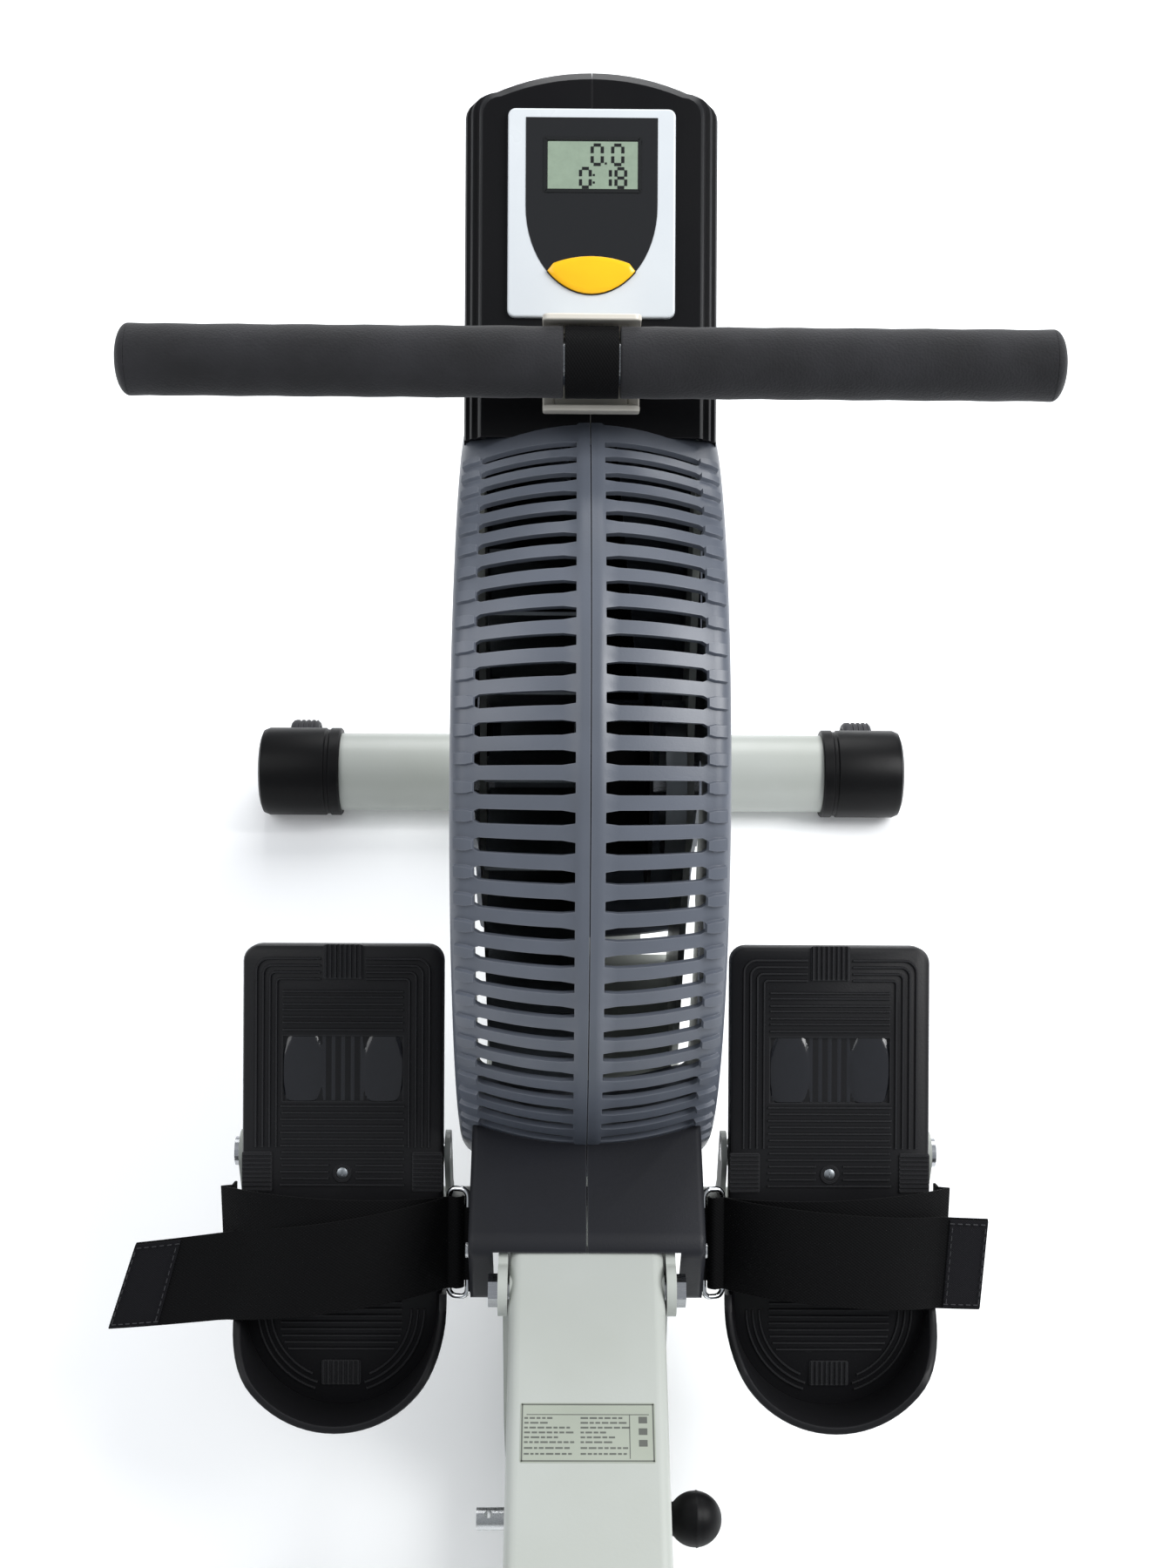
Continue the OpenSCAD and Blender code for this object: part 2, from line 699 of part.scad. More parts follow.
module strap_down() {
    top = [guide_yz[0] + guide_r + 3, guide_yz[1] - 8];
    foot = [coil_r + 3, fan_z + 20];
    mid_x = spool_x + spool_w / 2;
    translate([mid_x - strap_w / 2 + 1, foot[0], foot[1]])
        rotate([-atan2(top[0] - foot[0], top[1] - foot[1]), 0, 0])
            cube([strap_w - 2, strap_t, norm(top - foot) - 10]);
}

// A foot plate's outline: square toe with small corners, round heel; w is its half-width
module foot_outline(w) {
    translate([0, toe_len - 40]) round_rect(2 * w, 80, toe_corner);
    translate([-w, -heel_len + w]) square([2 * w, toe_len + heel_len - w - 40]);
    translate([0, -heel_len + w]) circle(w);
}

module footplate() place() on_pedal() translate([pedal_x, 0, 0]) {
    difference() {
        translate([0, 0, plate_bottom]) linear_extrude(foot_t) foot_outline(plate_w / 2);
        translate([0, toe_len - 68, plate_top - 1.5]) linear_extrude(10) round_rect(66, 36, 4);
    }
    // Heel cup
    translate([0, 0, plate_top - 0.1]) linear_extrude(cup_h + 0.1) difference() {
        translate([0, -heel_len + plate_w / 2]) circle(plate_w / 2 + cup_out);
        translate([0, -heel_len + plate_w / 2]) circle(plate_w / 2 + cup_out - cup_wall);
        translate([-100, -heel_len + plate_w / 2]) square([200, 200]);
    }
    translate([0, 0, plate_top - 0.1]) linear_extrude(cup_h + 0.1) for (x = [-1, 1])
        translate([x * (plate_w / 2 + cup_out - cup_wall / 2), -heel_len + plate_w / 2 + cup_front / 2])
            square([cup_wall, cup_front], center = true);
}
module footplate_right() color("#333337") footplate();
module footplate_left() color("#333337") mirror([1, 0, 0]) footplate();

module pedal_bracket() place() on_pedal() translate([pedal_x, 0, 0]) {
    w = 2 * (yoke_half - yoke_t) - 2;
    difference() {
        union() {
            bar(barrel_r, w, 0, 0);
            translate([-w / 2, -30, plate_bottom - 3]) cube([w, 60, 3]);
        }
        bar(pedal_axle_d / 2 + fit, w + 2, 0, 0);
    }
}
module pedal_bracket_right() color(steel_paint) pedal_bracket();
module pedal_bracket_left() color(steel_paint) mirror([1, 0, 0]) pedal_bracket();

toe_corner = 9;
cup_front = 10;
strap_mid = -46;
ring_x = -58;

// The strap rises over the foot's place from the ring and comes down outside the plate
module foot_strap() place() on_pedal() translate([pedal_x, strap_mid, 0]) rotate([90, 0, 0])
    linear_extrude(foot_strap_w, center = true) difference() {
        strap_arch(3);
        strap_arch(0);
        translate([-200, -100]) square([400, 100 + plate_top - 4]);
    }

// An arch over the plate, grown by g
module strap_arch(g) {
    translate([3, plate_top - 8]) intersection() {
        translate([0, -60]) circle(92 + g, $fn = 96);
        translate([-64 - g, 0]) square([128 + 2 * g, 100]);
    }
}
module foot_strap_right() color("#161616") foot_strap();
module foot_strap_left() color("#161616") mirror([1, 0, 0]) foot_strap();

module strap_ring() place() on_pedal() translate([pedal_x + ring_x - 6, strap_mid, plate_top - 2]) rotate([0, 20, 0])
    linear_extrude(4, center = true) difference() {
        round_rect(14, foot_strap_w + 12, 5);
        round_rect(8, foot_strap_w + 6, 2.5);
    }
module strap_ring_right() color("silver") strap_ring();
module strap_ring_left() color("silver") mirror([1, 0, 0]) strap_ring();

module at_seat() translate([0, -seat_back, 0]) children();

module seat_pad() color("#232325") place() at_seat() translate([0, 0, carriage_top + carriage_t])
    linear_extrude(pad_t) round_rect(seat_w, seat_len, 50);

module seat_carriage() color("#8d9196") place() at_seat() difference() {
    union() {
        translate([-90, -100, carriage_top]) cube([180, 200, carriage_t]);
        both() translate([carriage_x, -95, low_axle_z - 12]) cube([carriage_t, 190, carriage_top - low_axle_z + 12]);
    }
    for (y = [-1, 1]) bar(seat_axle_d / 2, 300, y * seat_axle_pitch / 2, axle_z);
    bar(seat_axle_d / 2, 300, 0, low_axle_z);
}

module seat_axles() color("silver") place() at_seat() {
    for (y = [-1, 1]) bar(seat_axle_d / 2, 2 * (carriage_x + carriage_t) + 4, y * seat_axle_pitch / 2, axle_z);
    bar(seat_axle_d / 2, 2 * (carriage_x + carriage_t) + 4, 0, low_axle_z);
}

module roller_pair(r, y, z) place() at_seat() both() tube(r, seat_axle_d / 2 + fit, 16, y, z, rail_w / 2 - 12);
module front_seat_rollers() color("#e8e8e4") roller_pair(roller_r, seat_axle_pitch / 2, axle_z);
module rear_seat_rollers() color("#e8e8e4") roller_pair(roller_r, -seat_axle_pitch / 2, axle_z);
module lower_seat_rollers() color("#e8e8e4") roller_pair(low_roller_r, 0, low_axle_z);

main_beam();
fan_uprights();
rear_post();
pedal_frame();
front_stabiliser();
front_end_caps();
mid_stabiliser();
mid_end_caps();
pedal_axles();
cage_left();
cage_right();
housing_left();
housing_right();
rear_cover();
shell_screws();
console_case();
console_panel();
lcd();
mode_button();
handle_bracket();
strap_guide();
guide_axle();
guide_roller();
fan_axle();
axle_nuts();
fan_wheel();
fan_bearings();
one_way_clutch();
spool();
strap_coil();
recoil_spring_case();
speed_sensor();
hinge_bolt();
transport_wheel_left();
transport_wheel_right();
handle_bar();
grips();
handle_caps();
pull_strap();
footplate_left();
footplate_right();
pedal_bracket_left();
pedal_bracket_right();
foot_strap_left();
foot_strap_right();
strap_ring_left();
strap_ring_right();
rail();
rail_end_cap();
rear_foot();
rear_end_caps();
rail_stops();
lock_pin();
lock_knob();
seat_pad();
seat_carriage();
seat_axles();
front_seat_rollers();
rear_seat_rollers();
lower_seat_rollers();
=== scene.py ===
# Air rowing machine: looks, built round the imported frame
import math
import random

import bmesh
import bpy
from mathutils import Matrix, Vector


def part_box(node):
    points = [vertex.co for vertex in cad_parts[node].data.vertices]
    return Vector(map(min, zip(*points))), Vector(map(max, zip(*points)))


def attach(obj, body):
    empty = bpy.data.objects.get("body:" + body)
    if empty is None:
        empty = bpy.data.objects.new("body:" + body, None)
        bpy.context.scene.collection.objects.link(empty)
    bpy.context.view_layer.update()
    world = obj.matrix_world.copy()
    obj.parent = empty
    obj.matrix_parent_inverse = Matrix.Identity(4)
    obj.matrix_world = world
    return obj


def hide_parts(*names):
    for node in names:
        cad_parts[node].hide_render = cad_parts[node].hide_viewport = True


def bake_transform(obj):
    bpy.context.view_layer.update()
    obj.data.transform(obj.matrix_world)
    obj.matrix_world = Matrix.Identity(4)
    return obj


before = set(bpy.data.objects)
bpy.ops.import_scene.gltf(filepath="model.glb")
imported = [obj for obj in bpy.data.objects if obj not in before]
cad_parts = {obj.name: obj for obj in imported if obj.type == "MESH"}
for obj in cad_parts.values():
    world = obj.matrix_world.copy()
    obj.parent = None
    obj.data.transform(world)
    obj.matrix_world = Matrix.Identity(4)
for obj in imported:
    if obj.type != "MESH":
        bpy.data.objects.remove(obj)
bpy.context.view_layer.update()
print("frame loaded")


# places taken from the frame

def boxMiddle(node):
    low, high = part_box(node)
    return [(a + b) / 2 for a, b in zip(low, high)]


fanY, fanZ = boxMiddle("fan_axle")[1:]
slope = math.radians(43)  # tower face and foot plates
faceFoot = Vector((0, fanY + 0.054, fanZ + 0.221))  # lower edge of the tower's face
faceFrame = Matrix.Translation(faceFoot) @ Matrix.Rotation(slope, 4, "X")
pedalAxle = boxMiddle("pedal_axles")
pedalX = 0.134
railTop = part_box("rail")[1][2]
railRearFoot = boxMiddle("rear_foot")[1]


def pedalFrame(side):
    place = Matrix.Translation((side * pedalX, pedalAxle[1], pedalAxle[2]))
    return place @ Matrix.Rotation(slope, 4, "X")


# camera, first

camera = {
    "lens": 48, "elevation": 47, "back": -0.852, "height": 1.2195, "left": -0.0126,
    "yaw": -0.625, "roll": 0.29,
}
cameraData = bpy.data.cameras.new("camera")
cameraData.lens = camera["lens"]
cameraData.sensor_width = 36
cameraData.clip_end = 50
cameraObject = bpy.data.objects.new("camera", cameraData)
bpy.context.collection.objects.link(cameraObject)
cameraObject.location = (camera["left"], fanY + camera["back"], camera["height"])
aim = Matrix.Rotation(math.radians(90 - camera["elevation"]), 3, "X")
aim = aim @ Matrix.Rotation(math.radians(camera["yaw"]), 3, "Y")
aim = aim @ Matrix.Rotation(math.radians(camera["roll"]), 3, "Z")
cameraObject.rotation_euler = aim.to_euler()
bpy.context.scene.camera = cameraObject
print("camera set")


# materials

def colour(hexText):
    # sRGB hex to the linear values that shaders take
    parts = [int(hexText[i:i + 2], 16) / 255 for i in (1, 3, 5)]
    linear = [c / 12.92 if c <= 0.04045 else ((c + 0.055) / 1.055) ** 2.4 for c in parts]
    return (*linear, 1)


def perMillimetre(size):
    # texture scale for a feature of that many millimetres
    return 1000 / size


def addNode(tree, kind, settings=None, links=None, **options):
    node = tree.nodes.new(kind)
    for name, value in options.items():
        setattr(node, name, value)
    for name, value in (settings or {}).items():
        node.inputs[name].default_value = value
    for name, source in (links or {}).items():
        tree.links.new(source, node.inputs[name])
    return node


def startMaterial(name, **shaderValues):
    material = bpy.data.materials.new(name)
    material.use_nodes = True
    tree = material.node_tree
    tree.nodes.clear()
    shader = addNode(tree, "ShaderNodeBsdfPrincipled", shaderValues)
    addNode(tree, "ShaderNodeOutputMaterial", links={"Surface": shader.outputs[0]})
    return material, tree, shader


def objectPoint(tree):
    return addNode(tree, "ShaderNodeTexCoord").outputs["Object"]


def blotches(tree, point, size, detail=3, roughness=0.5):
    return addNode(tree, "ShaderNodeTexNoise", {
        "Scale": perMillimetre(size), "Detail": detail, "Roughness": roughness,
    }, {"Vector": point}).outputs["Fac"]


def ramp(tree, factor, stops):
    node = addNode(tree, "ShaderNodeValToRGB", links={"Fac": factor})
    marks = node.color_ramp.elements
    while len(marks) < len(stops):
        marks.new(0.5)
    for mark, (place, shade) in zip(marks, stops):
        mark.position = place
        mark.color = shade if not isinstance(shade, float) else (shade, shade, shade, 1)
    return node.outputs["Color"]


def bump(tree, shader, height, strength, distance):
    node = addNode(tree, "ShaderNodeBump", {"Strength": strength, "Distance": distance}, {"Height": height})
    tree.links.new(node.outputs["Normal"], shader.inputs["Normal"])


def wornEdges(tree, amount):
    # corners rub first: bevel normals against true ones
    soft = addNode(tree, "ShaderNodeBevel", {"Radius": 0.0012}, samples=4).outputs["Normal"]
    sharp = addNode(tree, "ShaderNodeNewGeometry").outputs["Normal"]
    dot = addNode(tree, "ShaderNodeVectorMath", links={0: soft, 1: sharp}, operation="DOT_PRODUCT")
    return ramp(tree, dot.outputs["Value"], [(0.80, amount), (0.97, 0.0)])


def paintedSteel(name, tone, shade):
    # powder coat on tube: faint orange peel, dust in the low spots
    material, tree, shader = startMaterial(name, Roughness=0.34, IOR=1.5)
    point = objectPoint(tree)
    patches = blotches(tree, point, 160, 4, 0.6)
    peel = blotches(tree, point, 2.2, 2)
    fine = blotches(tree, point, 0.9, 2)
    paint = ramp(tree, patches, [(0.32, colour(shade)), (0.62, colour(tone))])
    tree.links.new(paint, shader.inputs["Base Color"])
    tree.links.new(ramp(tree, patches, [(0.3, 0.42), (0.7, 0.30)]), shader.inputs["Roughness"])
    mixed = addNode(tree, "ShaderNodeMath", {1: 0.4}, {0: fine, 2: peel}, operation="MULTIPLY_ADD")
    bump(tree, shader, mixed.outputs[0], 0.12, 0.0004)
    return material


def mouldedPlastic(name, tone, shade, rough, grain=1.4, depth=0.25, wear=0.02, spread=70, shine=0.5):
    # injection moulding: spark-eroded grain, slight flow marks and rubbed corners
    material, tree, shader = startMaterial(name, Roughness=rough, IOR=1.49)
    shader.inputs["Specular IOR Level"].default_value = shine
    point = objectPoint(tree)
    flow = blotches(tree, point, spread, 4, 0.55)
    skin = blotches(tree, point, grain, 3, 0.7)
    base = ramp(tree, flow, [(0.3, colour(shade)), (0.7, colour(tone))])
    rubbed = addNode(tree, "ShaderNodeMixRGB", {"Color2": (0.5, 0.5, 0.52, 1)},
                     {"Fac": wornEdges(tree, wear), "Color1": base})
    tree.links.new(rubbed.outputs[0], shader.inputs["Base Color"])
    tree.links.new(ramp(tree, flow, [(0.3, rough + 0.07), (0.7, rough - 0.05)]), shader.inputs["Roughness"])
    bump(tree, shader, skin, depth, 0.0003)
    return material


def brightMetal(name, tone, rough, grain, along="X"):
    # turned, drawn or plated steel: fine lines round or along the piece
    material, tree, shader = startMaterial(name, Metallic=1.0, Roughness=rough)
    point = objectPoint(tree)
    stretch = {"X": (0.04, 1, 1), "Y": (1, 0.04, 1), "Z": (1, 1, 0.04), "none": (1, 1, 1)}[along]
    drawn = addNode(tree, "ShaderNodeMapping", {"Scale": stretch}, {"Vector": point}).outputs[0]
    lines = blotches(tree, drawn, grain, 3, 0.7)
    cloud = blotches(tree, point, 25, 3)
    tree.links.new(ramp(tree, cloud, [(0.3, tuple(0.82 * c for c in colour(tone)[:3]) + (1,)),
                                      (0.7, colour(tone))]), shader.inputs["Base Color"])
    tree.links.new(ramp(tree, lines, [(0.3, rough + 0.08), (0.7, max(rough - 0.06, 0.03))]),
                   shader.inputs["Roughness"])
    bump(tree, shader, lines, 0.08, 0.0002)
    return material


def closedCellFoam(name):
    # nitrile foam: dull, minute pores and a slightly lumpy skin
    material, tree, shader = startMaterial(name, Roughness=0.78, IOR=1.45)
    shader.inputs["Specular IOR Level"].default_value = 0.25
    shader.inputs["Sheen Weight"].default_value = 0.12
    shader.inputs["Sheen Roughness"].default_value = 0.5
    point = objectPoint(tree)
    pores = addNode(tree, "ShaderNodeTexVoronoi", {"Scale": perMillimetre(1.3)}, {"Vector": point})
    lumps = blotches(tree, point, 9, 4, 0.6)
    patches = blotches(tree, point, 40, 3)
    tree.links.new(ramp(tree, patches, [(0.3, colour("#18181a")), (0.7, colour("#242427"))]),
                   shader.inputs["Base Color"])
    height = addNode(tree, "ShaderNodeMath", {1: 1.6}, {0: lumps, 2: pores.outputs["Distance"]},
                     operation="MULTIPLY_ADD")
    bump(tree, shader, height.outputs[0], 0.35, 0.0005)
    return material


def wovenWebbing(name, tone, thread=1.6):
    # polypropylene webbing: raised warp cords crossed by weft, coarse enough to show
    material, tree, shader = startMaterial(name, Roughness=0.7, IOR=1.5)
    shader.inputs["Specular IOR Level"].default_value = 0.06
    shader.inputs["Sheen Weight"].default_value = 0.02
    across = addNode(tree, "ShaderNodeUVMap", uv_map="weave").outputs[0]
    parts = addNode(tree, "ShaderNodeSeparateXYZ", links={"Vector": across})
    waves = []
    for axis, size in (("X", thread), ("Y", thread * 1.5)):
        turn = addNode(tree, "ShaderNodeMath", {1: 2 * math.pi * perMillimetre(size)},
                       {0: parts.outputs[axis]}, operation="MULTIPLY")
        waves.append(addNode(tree, "ShaderNodeMath", links={0: turn.outputs[0]}, operation="SINE").outputs[0])
    crossed = addNode(tree, "ShaderNodeMath", links={0: waves[0], 1: waves[1]}, operation="MULTIPLY")
    # painted shade: the weave's low spots are darkened to 45% of the thread colour, following the same height
    # as the bump (on the webbing and the hook tape)
    dark = tuple(0.45 * c for c in colour(tone)[:3]) + (1,)
    shade = addNode(tree, "ShaderNodeMath", {1: 0.5, 2: 0.5}, {0: crossed.outputs[0]},
                    operation="MULTIPLY_ADD")
    threadsWithPaintedShade = ramp(tree, shade.outputs[0], [(0.1, dark), (0.9, colour(tone))])
    tree.links.new(threadsWithPaintedShade, shader.inputs["Base Color"])
    bump(tree, shader, shade.outputs[0], 0.5, 0.0005)
    return material


def grainedVinyl(name):
    # PU-coated seat cover: leather grain, soft sheen where it is sat on
    material, tree, shader = startMaterial(name, Roughness=0.45, IOR=1.5)
    point = objectPoint(tree)
    cells = addNode(tree, "ShaderNodeTexVoronoi", {"Scale": perMillimetre(2.6)}, {"Vector": point},
                    feature="DISTANCE_TO_EDGE")
    creases = ramp(tree, cells.outputs["Distance"], [(0.0, 0.0), (0.22, 1.0)])
    patches = blotches(tree, point, 90, 4, 0.6)
    tree.links.new(ramp(tree, patches, [(0.3, colour("#1a1a1c")), (0.7, colour("#242427"))]),
                   shader.inputs["Base Color"])
    tree.links.new(ramp(tree, patches, [(0.3, 0.52), (0.7, 0.36)]), shader.inputs["Roughness"])
    bump(tree, shader, creases, 0.3, 0.0004)
    return material


def glossSheet(name, tone, rough=0.12):
    # printed acrylic: clear face over flat colour, hair scratches
    material, tree, shader = startMaterial(name, Roughness=rough, IOR=1.49)
    point = objectPoint(tree)
    fine = blotches(tree, point, 6, 5, 0.7)
    light = colour(tone)
    dark = tuple(0.9 * c for c in light[:3]) + (1,)
    tree.links.new(ramp(tree, fine, [(0.35, dark), (0.65, light)]), shader.inputs["Base Color"])
    tree.links.new(ramp(tree, fine, [(0.3, rough + 0.05), (0.7, rough)]), shader.inputs["Roughness"])
    return material


materials = {
    "rail": paintedSteel("powderCoatGrey", "#aaaea9", "#a3a7a0"),
    "bracket": paintedSteel("powderCoatCream", "#cfcabf", "#c3beb3"),
    "cage": mouldedPlastic("mouldedAbsGrey", "#585d67", "#4d525b", 0.36, 1.2, 0.18, 0.10),
    "shell": mouldedPlastic("grainedAbsBlack", "#0c0c0e", "#08080a", 0.36, 1.3, 0.22, 0.04, shine=0.16),
    "cover": mouldedPlastic("grainedAbsCharcoal", "#1c1d22", "#17181c", 0.48, 1.3, 0.3, 0.05, shine=0.25),
    "cap": mouldedPlastic("mouldedPolyethyleneBlack", "#0b0b0c", "#070708", 0.42, 1.8, 0.2, 0.03, shine=0.14),
    "foot": mouldedPlastic("glassFilledNylonBlack", "#141416", "#0e0e10", 0.44, 1.1, 0.3, 0.05, shine=0.24),
    "wheel": mouldedPlastic("pvcTyreGrey", "#2c2c30", "#242427", 0.55, 1.5, 0.3, 0.03, shine=0.3),
    "roller": mouldedPlastic("turnedAcetalWhite", "#d2d2cc", "#c6c6bf", 0.30, 2.0, 0.1, 0.02),
    "silver": mouldedPlastic("silverPaintedAbs", "#cfd4d7", "#c7ccd0", 0.30, 0.9, 0.08, 0.02),
    "panel": glossSheet("printedAcrylicBlack", "#151618", 0.2),
    "glass": glossSheet("displayGlassGreen", "#8a9a88", 0.10),
    "ink": glossSheet("displaySegmentInk", "#0b0d0e", 0.25),
    "button": mouldedPlastic("glossAbsYellow", "#f3bd13", "#eeb009", 0.22, 3.0, 0.04, 0.02),
    "foam": closedCellFoam("closedCellFoam"),
    "webbing": wovenWebbing("wovenWebbingBlack", "#0c0c0d"),
    "hookTape": wovenWebbing("brushedHookTape", "#18181b", 1.0),
    "chrome": brightMetal("chromedWire", "#d8dadc", 0.10, 1.0, "none"),
    "zinc": brightMetal("zincPlatedSteel", "#c3c5c6", 0.28, 0.8, "none"),
    "steel": brightMetal("turnedSteel", "#b9bbbe", 0.22, 0.8, "X"),
    "galvanised": brightMetal("pressedGalvanisedSteel", "#9ba0a4", 0.38, 3.0, "Y"),
    "aluminium": brightMetal("stampedAluminium", "#6f7478", 0.42, 2.0, "none"),
    "vinyl": grainedVinyl("grainedVinylBlack"),
    "thread": mouldedPlastic("bondedNylonThread", "#26262a", "#1a1a1d", 0.6, 0.8, 0.3, 0.0),
    "label": mouldedPlastic("printedPolyesterLabel", "#9da397", "#949a8e", 0.35, 2.0, 0.05, 0.0),
    "labelInk": mouldedPlastic("labelInkGrey", "#5c5f59", "#50534e", 0.5, 2.0, 0.05, 0.0),
    "insert": glossSheet("clearPvcInsert", "#1a1b1f", 0.10),
    "rubber": mouldedPlastic("mouldedRubberBlack", "#131314", "#0e0e0f", 0.62, 1.2, 0.4, 0.02, shine=0.3),
}
print("materials made")


# shape helpers

def arc(x, y, radius, angles):
    # points round a centre at those angles, in degrees
    return [(x + radius * math.cos(math.radians(a)), y + radius * math.sin(math.radians(a))) for a in angles]


def roundedOutline(width, height, corner, steps=6):
    # corner points of a centred rectangle with round corners
    points = []
    for quarter, (sx, sy) in enumerate(((1, 1), (-1, 1), (-1, -1), (1, -1))):
        points += arc(sx * (width / 2 - corner), sy * (height / 2 - corner), corner,
                      [90 * quarter + 90 * n / steps for n in range(steps + 1)])
    return points


def face(bm, points, z=0.0):
    return bm.faces.new([bm.verts.new((x, y, z)) for x, y in points])


def raiseFace(bm, flat, vector):
    # extrudes one face and gives back its copy at the far end
    made = bmesh.ops.extrude_face_region(bm, geom=[flat])["geom"]
    moved = [g for g in made if isinstance(g, bmesh.types.BMVert)]
    bmesh.ops.translate(bm, verts=moved, vec=Vector(vector))
    return [g for g in made if isinstance(g, bmesh.types.BMFace)][0]


def insetFace(bm, flat, thickness, depth=0.0):
    bmesh.ops.inset_region(bm, faces=[flat], thickness=thickness, depth=depth, use_even_offset=True)


def prism(bm, points, low, high):
    # a closed block with that outline between two heights
    flat = face(bm, points, low)
    return raiseFace(bm, flat, (0, 0, high - low))


def block(bm, middle, size):
    made = bmesh.ops.create_cube(bm, size=1)["verts"]
    bmesh.ops.scale(bm, verts=made, vec=Vector(size))
    bmesh.ops.translate(bm, verts=made, vec=Vector(middle))


def disc(bm, radius, depth, matrix, segments=48):
    made = bmesh.ops.create_cone(bm, cap_ends=True, segments=segments, radius1=radius, radius2=radius,
                                 depth=depth, matrix=matrix)
    return made["verts"]


def alongX(x, y, z, side=1):
    # local Z becomes X, or -X on the left
    return Matrix.Translation((x, y, z)) @ Matrix.Rotation(side * math.pi / 2, 4, "Y")


def turnProfile(bm, profile, matrix, steps=48):
    # profile points (radius, along) spun about the local Z axis
    verts = [bm.verts.new((r, 0, z)) for r, z in profile]
    edges = [bm.edges.new(pair) for pair in zip(verts, verts[1:])]
    bmesh.ops.spin(bm, geom=verts + edges, cent=(0, 0, 0), axis=(0, 0, 1), angle=2 * math.pi,
                   steps=steps, use_merge=True)
    fresh = [v for v in bm.verts if not v.tag]
    bmesh.ops.remove_doubles(bm, verts=fresh, dist=1e-6)
    fresh = [v for v in bm.verts if not v.tag]
    bmesh.ops.transform(bm, matrix=matrix, verts=fresh)
    for v in bm.verts:
        v.tag = True


def startTurning(bm):
    for v in bm.verts:
        v.tag = True


def faceOutward(bm):
    # an open shell's normals, judged by its highest face
    bmesh.ops.recalc_face_normals(bm, faces=bm.faces)
    if max(bm.faces, key=lambda f: f.calc_center_median().z).normal.z < 0:
        bmesh.ops.reverse_faces(bm, faces=bm.faces)


def flipSide(bm):
    # the right half becomes the left one
    bmesh.ops.scale(bm, verts=bm.verts, vec=Vector((-1, 1, 1)))
    bmesh.ops.reverse_faces(bm, faces=bm.faces)


def finishPiece(name, bm, body, material, replaced=(), place=None, sharp=32, fixNormals=True):
    # bmesh to an object at the origin that rides on its body
    if place is not None:
        bmesh.ops.transform(bm, matrix=place, verts=bm.verts)
    bmesh.ops.remove_doubles(bm, verts=bm.verts, dist=1e-6)
    if fixNormals:
        bmesh.ops.recalc_face_normals(bm, faces=bm.faces)
    for edge in bm.edges:
        edge.smooth = edge.calc_face_angle(0) < math.radians(sharp)
    for polygon in bm.faces:
        polygon.smooth = True
    mesh = bpy.data.meshes.new(name)
    bm.to_mesh(mesh)
    bm.free()
    piece = bpy.data.objects.new(name, mesh)
    bpy.context.collection.objects.link(piece)
    for entry in (material if isinstance(material, (list, tuple)) else [material]):
        mesh.materials.append(entry)
    if body:
        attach(piece, body)
    if replaced:
        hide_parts(*replaced)
    return piece


def addBevel(piece, width, segments=2, angle=30):
    rounded = piece.modifiers.new("rounded", "BEVEL")
    rounded.width = width
    rounded.segments = segments
    rounded.limit_method = "ANGLE"
    rounded.angle_limit = math.radians(angle)
    rounded.harden_normals = True


sides = (("left", -1), ("right", 1))


# fan cage

cage = {
    "radius": 0.230, "half": 0.071, "crown": 0.155, "corner": 0.012, "wall": 0.003,
    "pitch": math.radians(3.7), "firstRear": math.radians(81.7), "rearSlots": 32,
    "spine": 0.0075, "slotEnd": 0.0575,
    "bottomGap": math.radians(30), "intakes": 12, "intakeFrom": 0.085, "intakeTo": 0.150,
    "towerFrom": math.radians(31), "towerTo": math.radians(74), "towerHalf": 0.062, "pocketEnd": 0.0665,
}


def cageRadius(x):
    return cage["radius"] - cage["crown"] + math.sqrt(cage["crown"] ** 2 - x * x)


def cageProfile():
    # (x, radius) from the seam over the crown, round the corner and down the side
    low = cage["half"] - cage["corner"]
    edge = cageRadius(low)
    points = [(x / 1000, cageRadius(x / 1000) + (0.0008 if x < 6.5 else 0))
              for x in (0.25, 3.5, 6.2, 7.5, 14, 22, 30, 38, 45, 51.5, 55.5, 57.5)]
    points += arc(low, edge - cage["corner"], cage["corner"], range(79, 23, -11))
    inner = (0.196, 0.190, 0.184, 0.150, 0.120, 0.085, 0.055, 0.030, 0.014)
    return points + [(cage["half"], r) for r in inner]


def angleAround(point):
    # from straight down on the tower's side, all the way round
    angle = math.atan2(point.z, point.y)
    return angle + 2 * math.pi if angle < -math.pi / 2 else angle


def slotPhase(angle):
    # where an angle lies within the slot pattern: 0 at a slot's middle, None outside it
    n = (angle - cage["firstRear"]) / cage["pitch"]
    return n - round(n) if -0.3 < n < cage["rearSlots"] - 0.7 else None


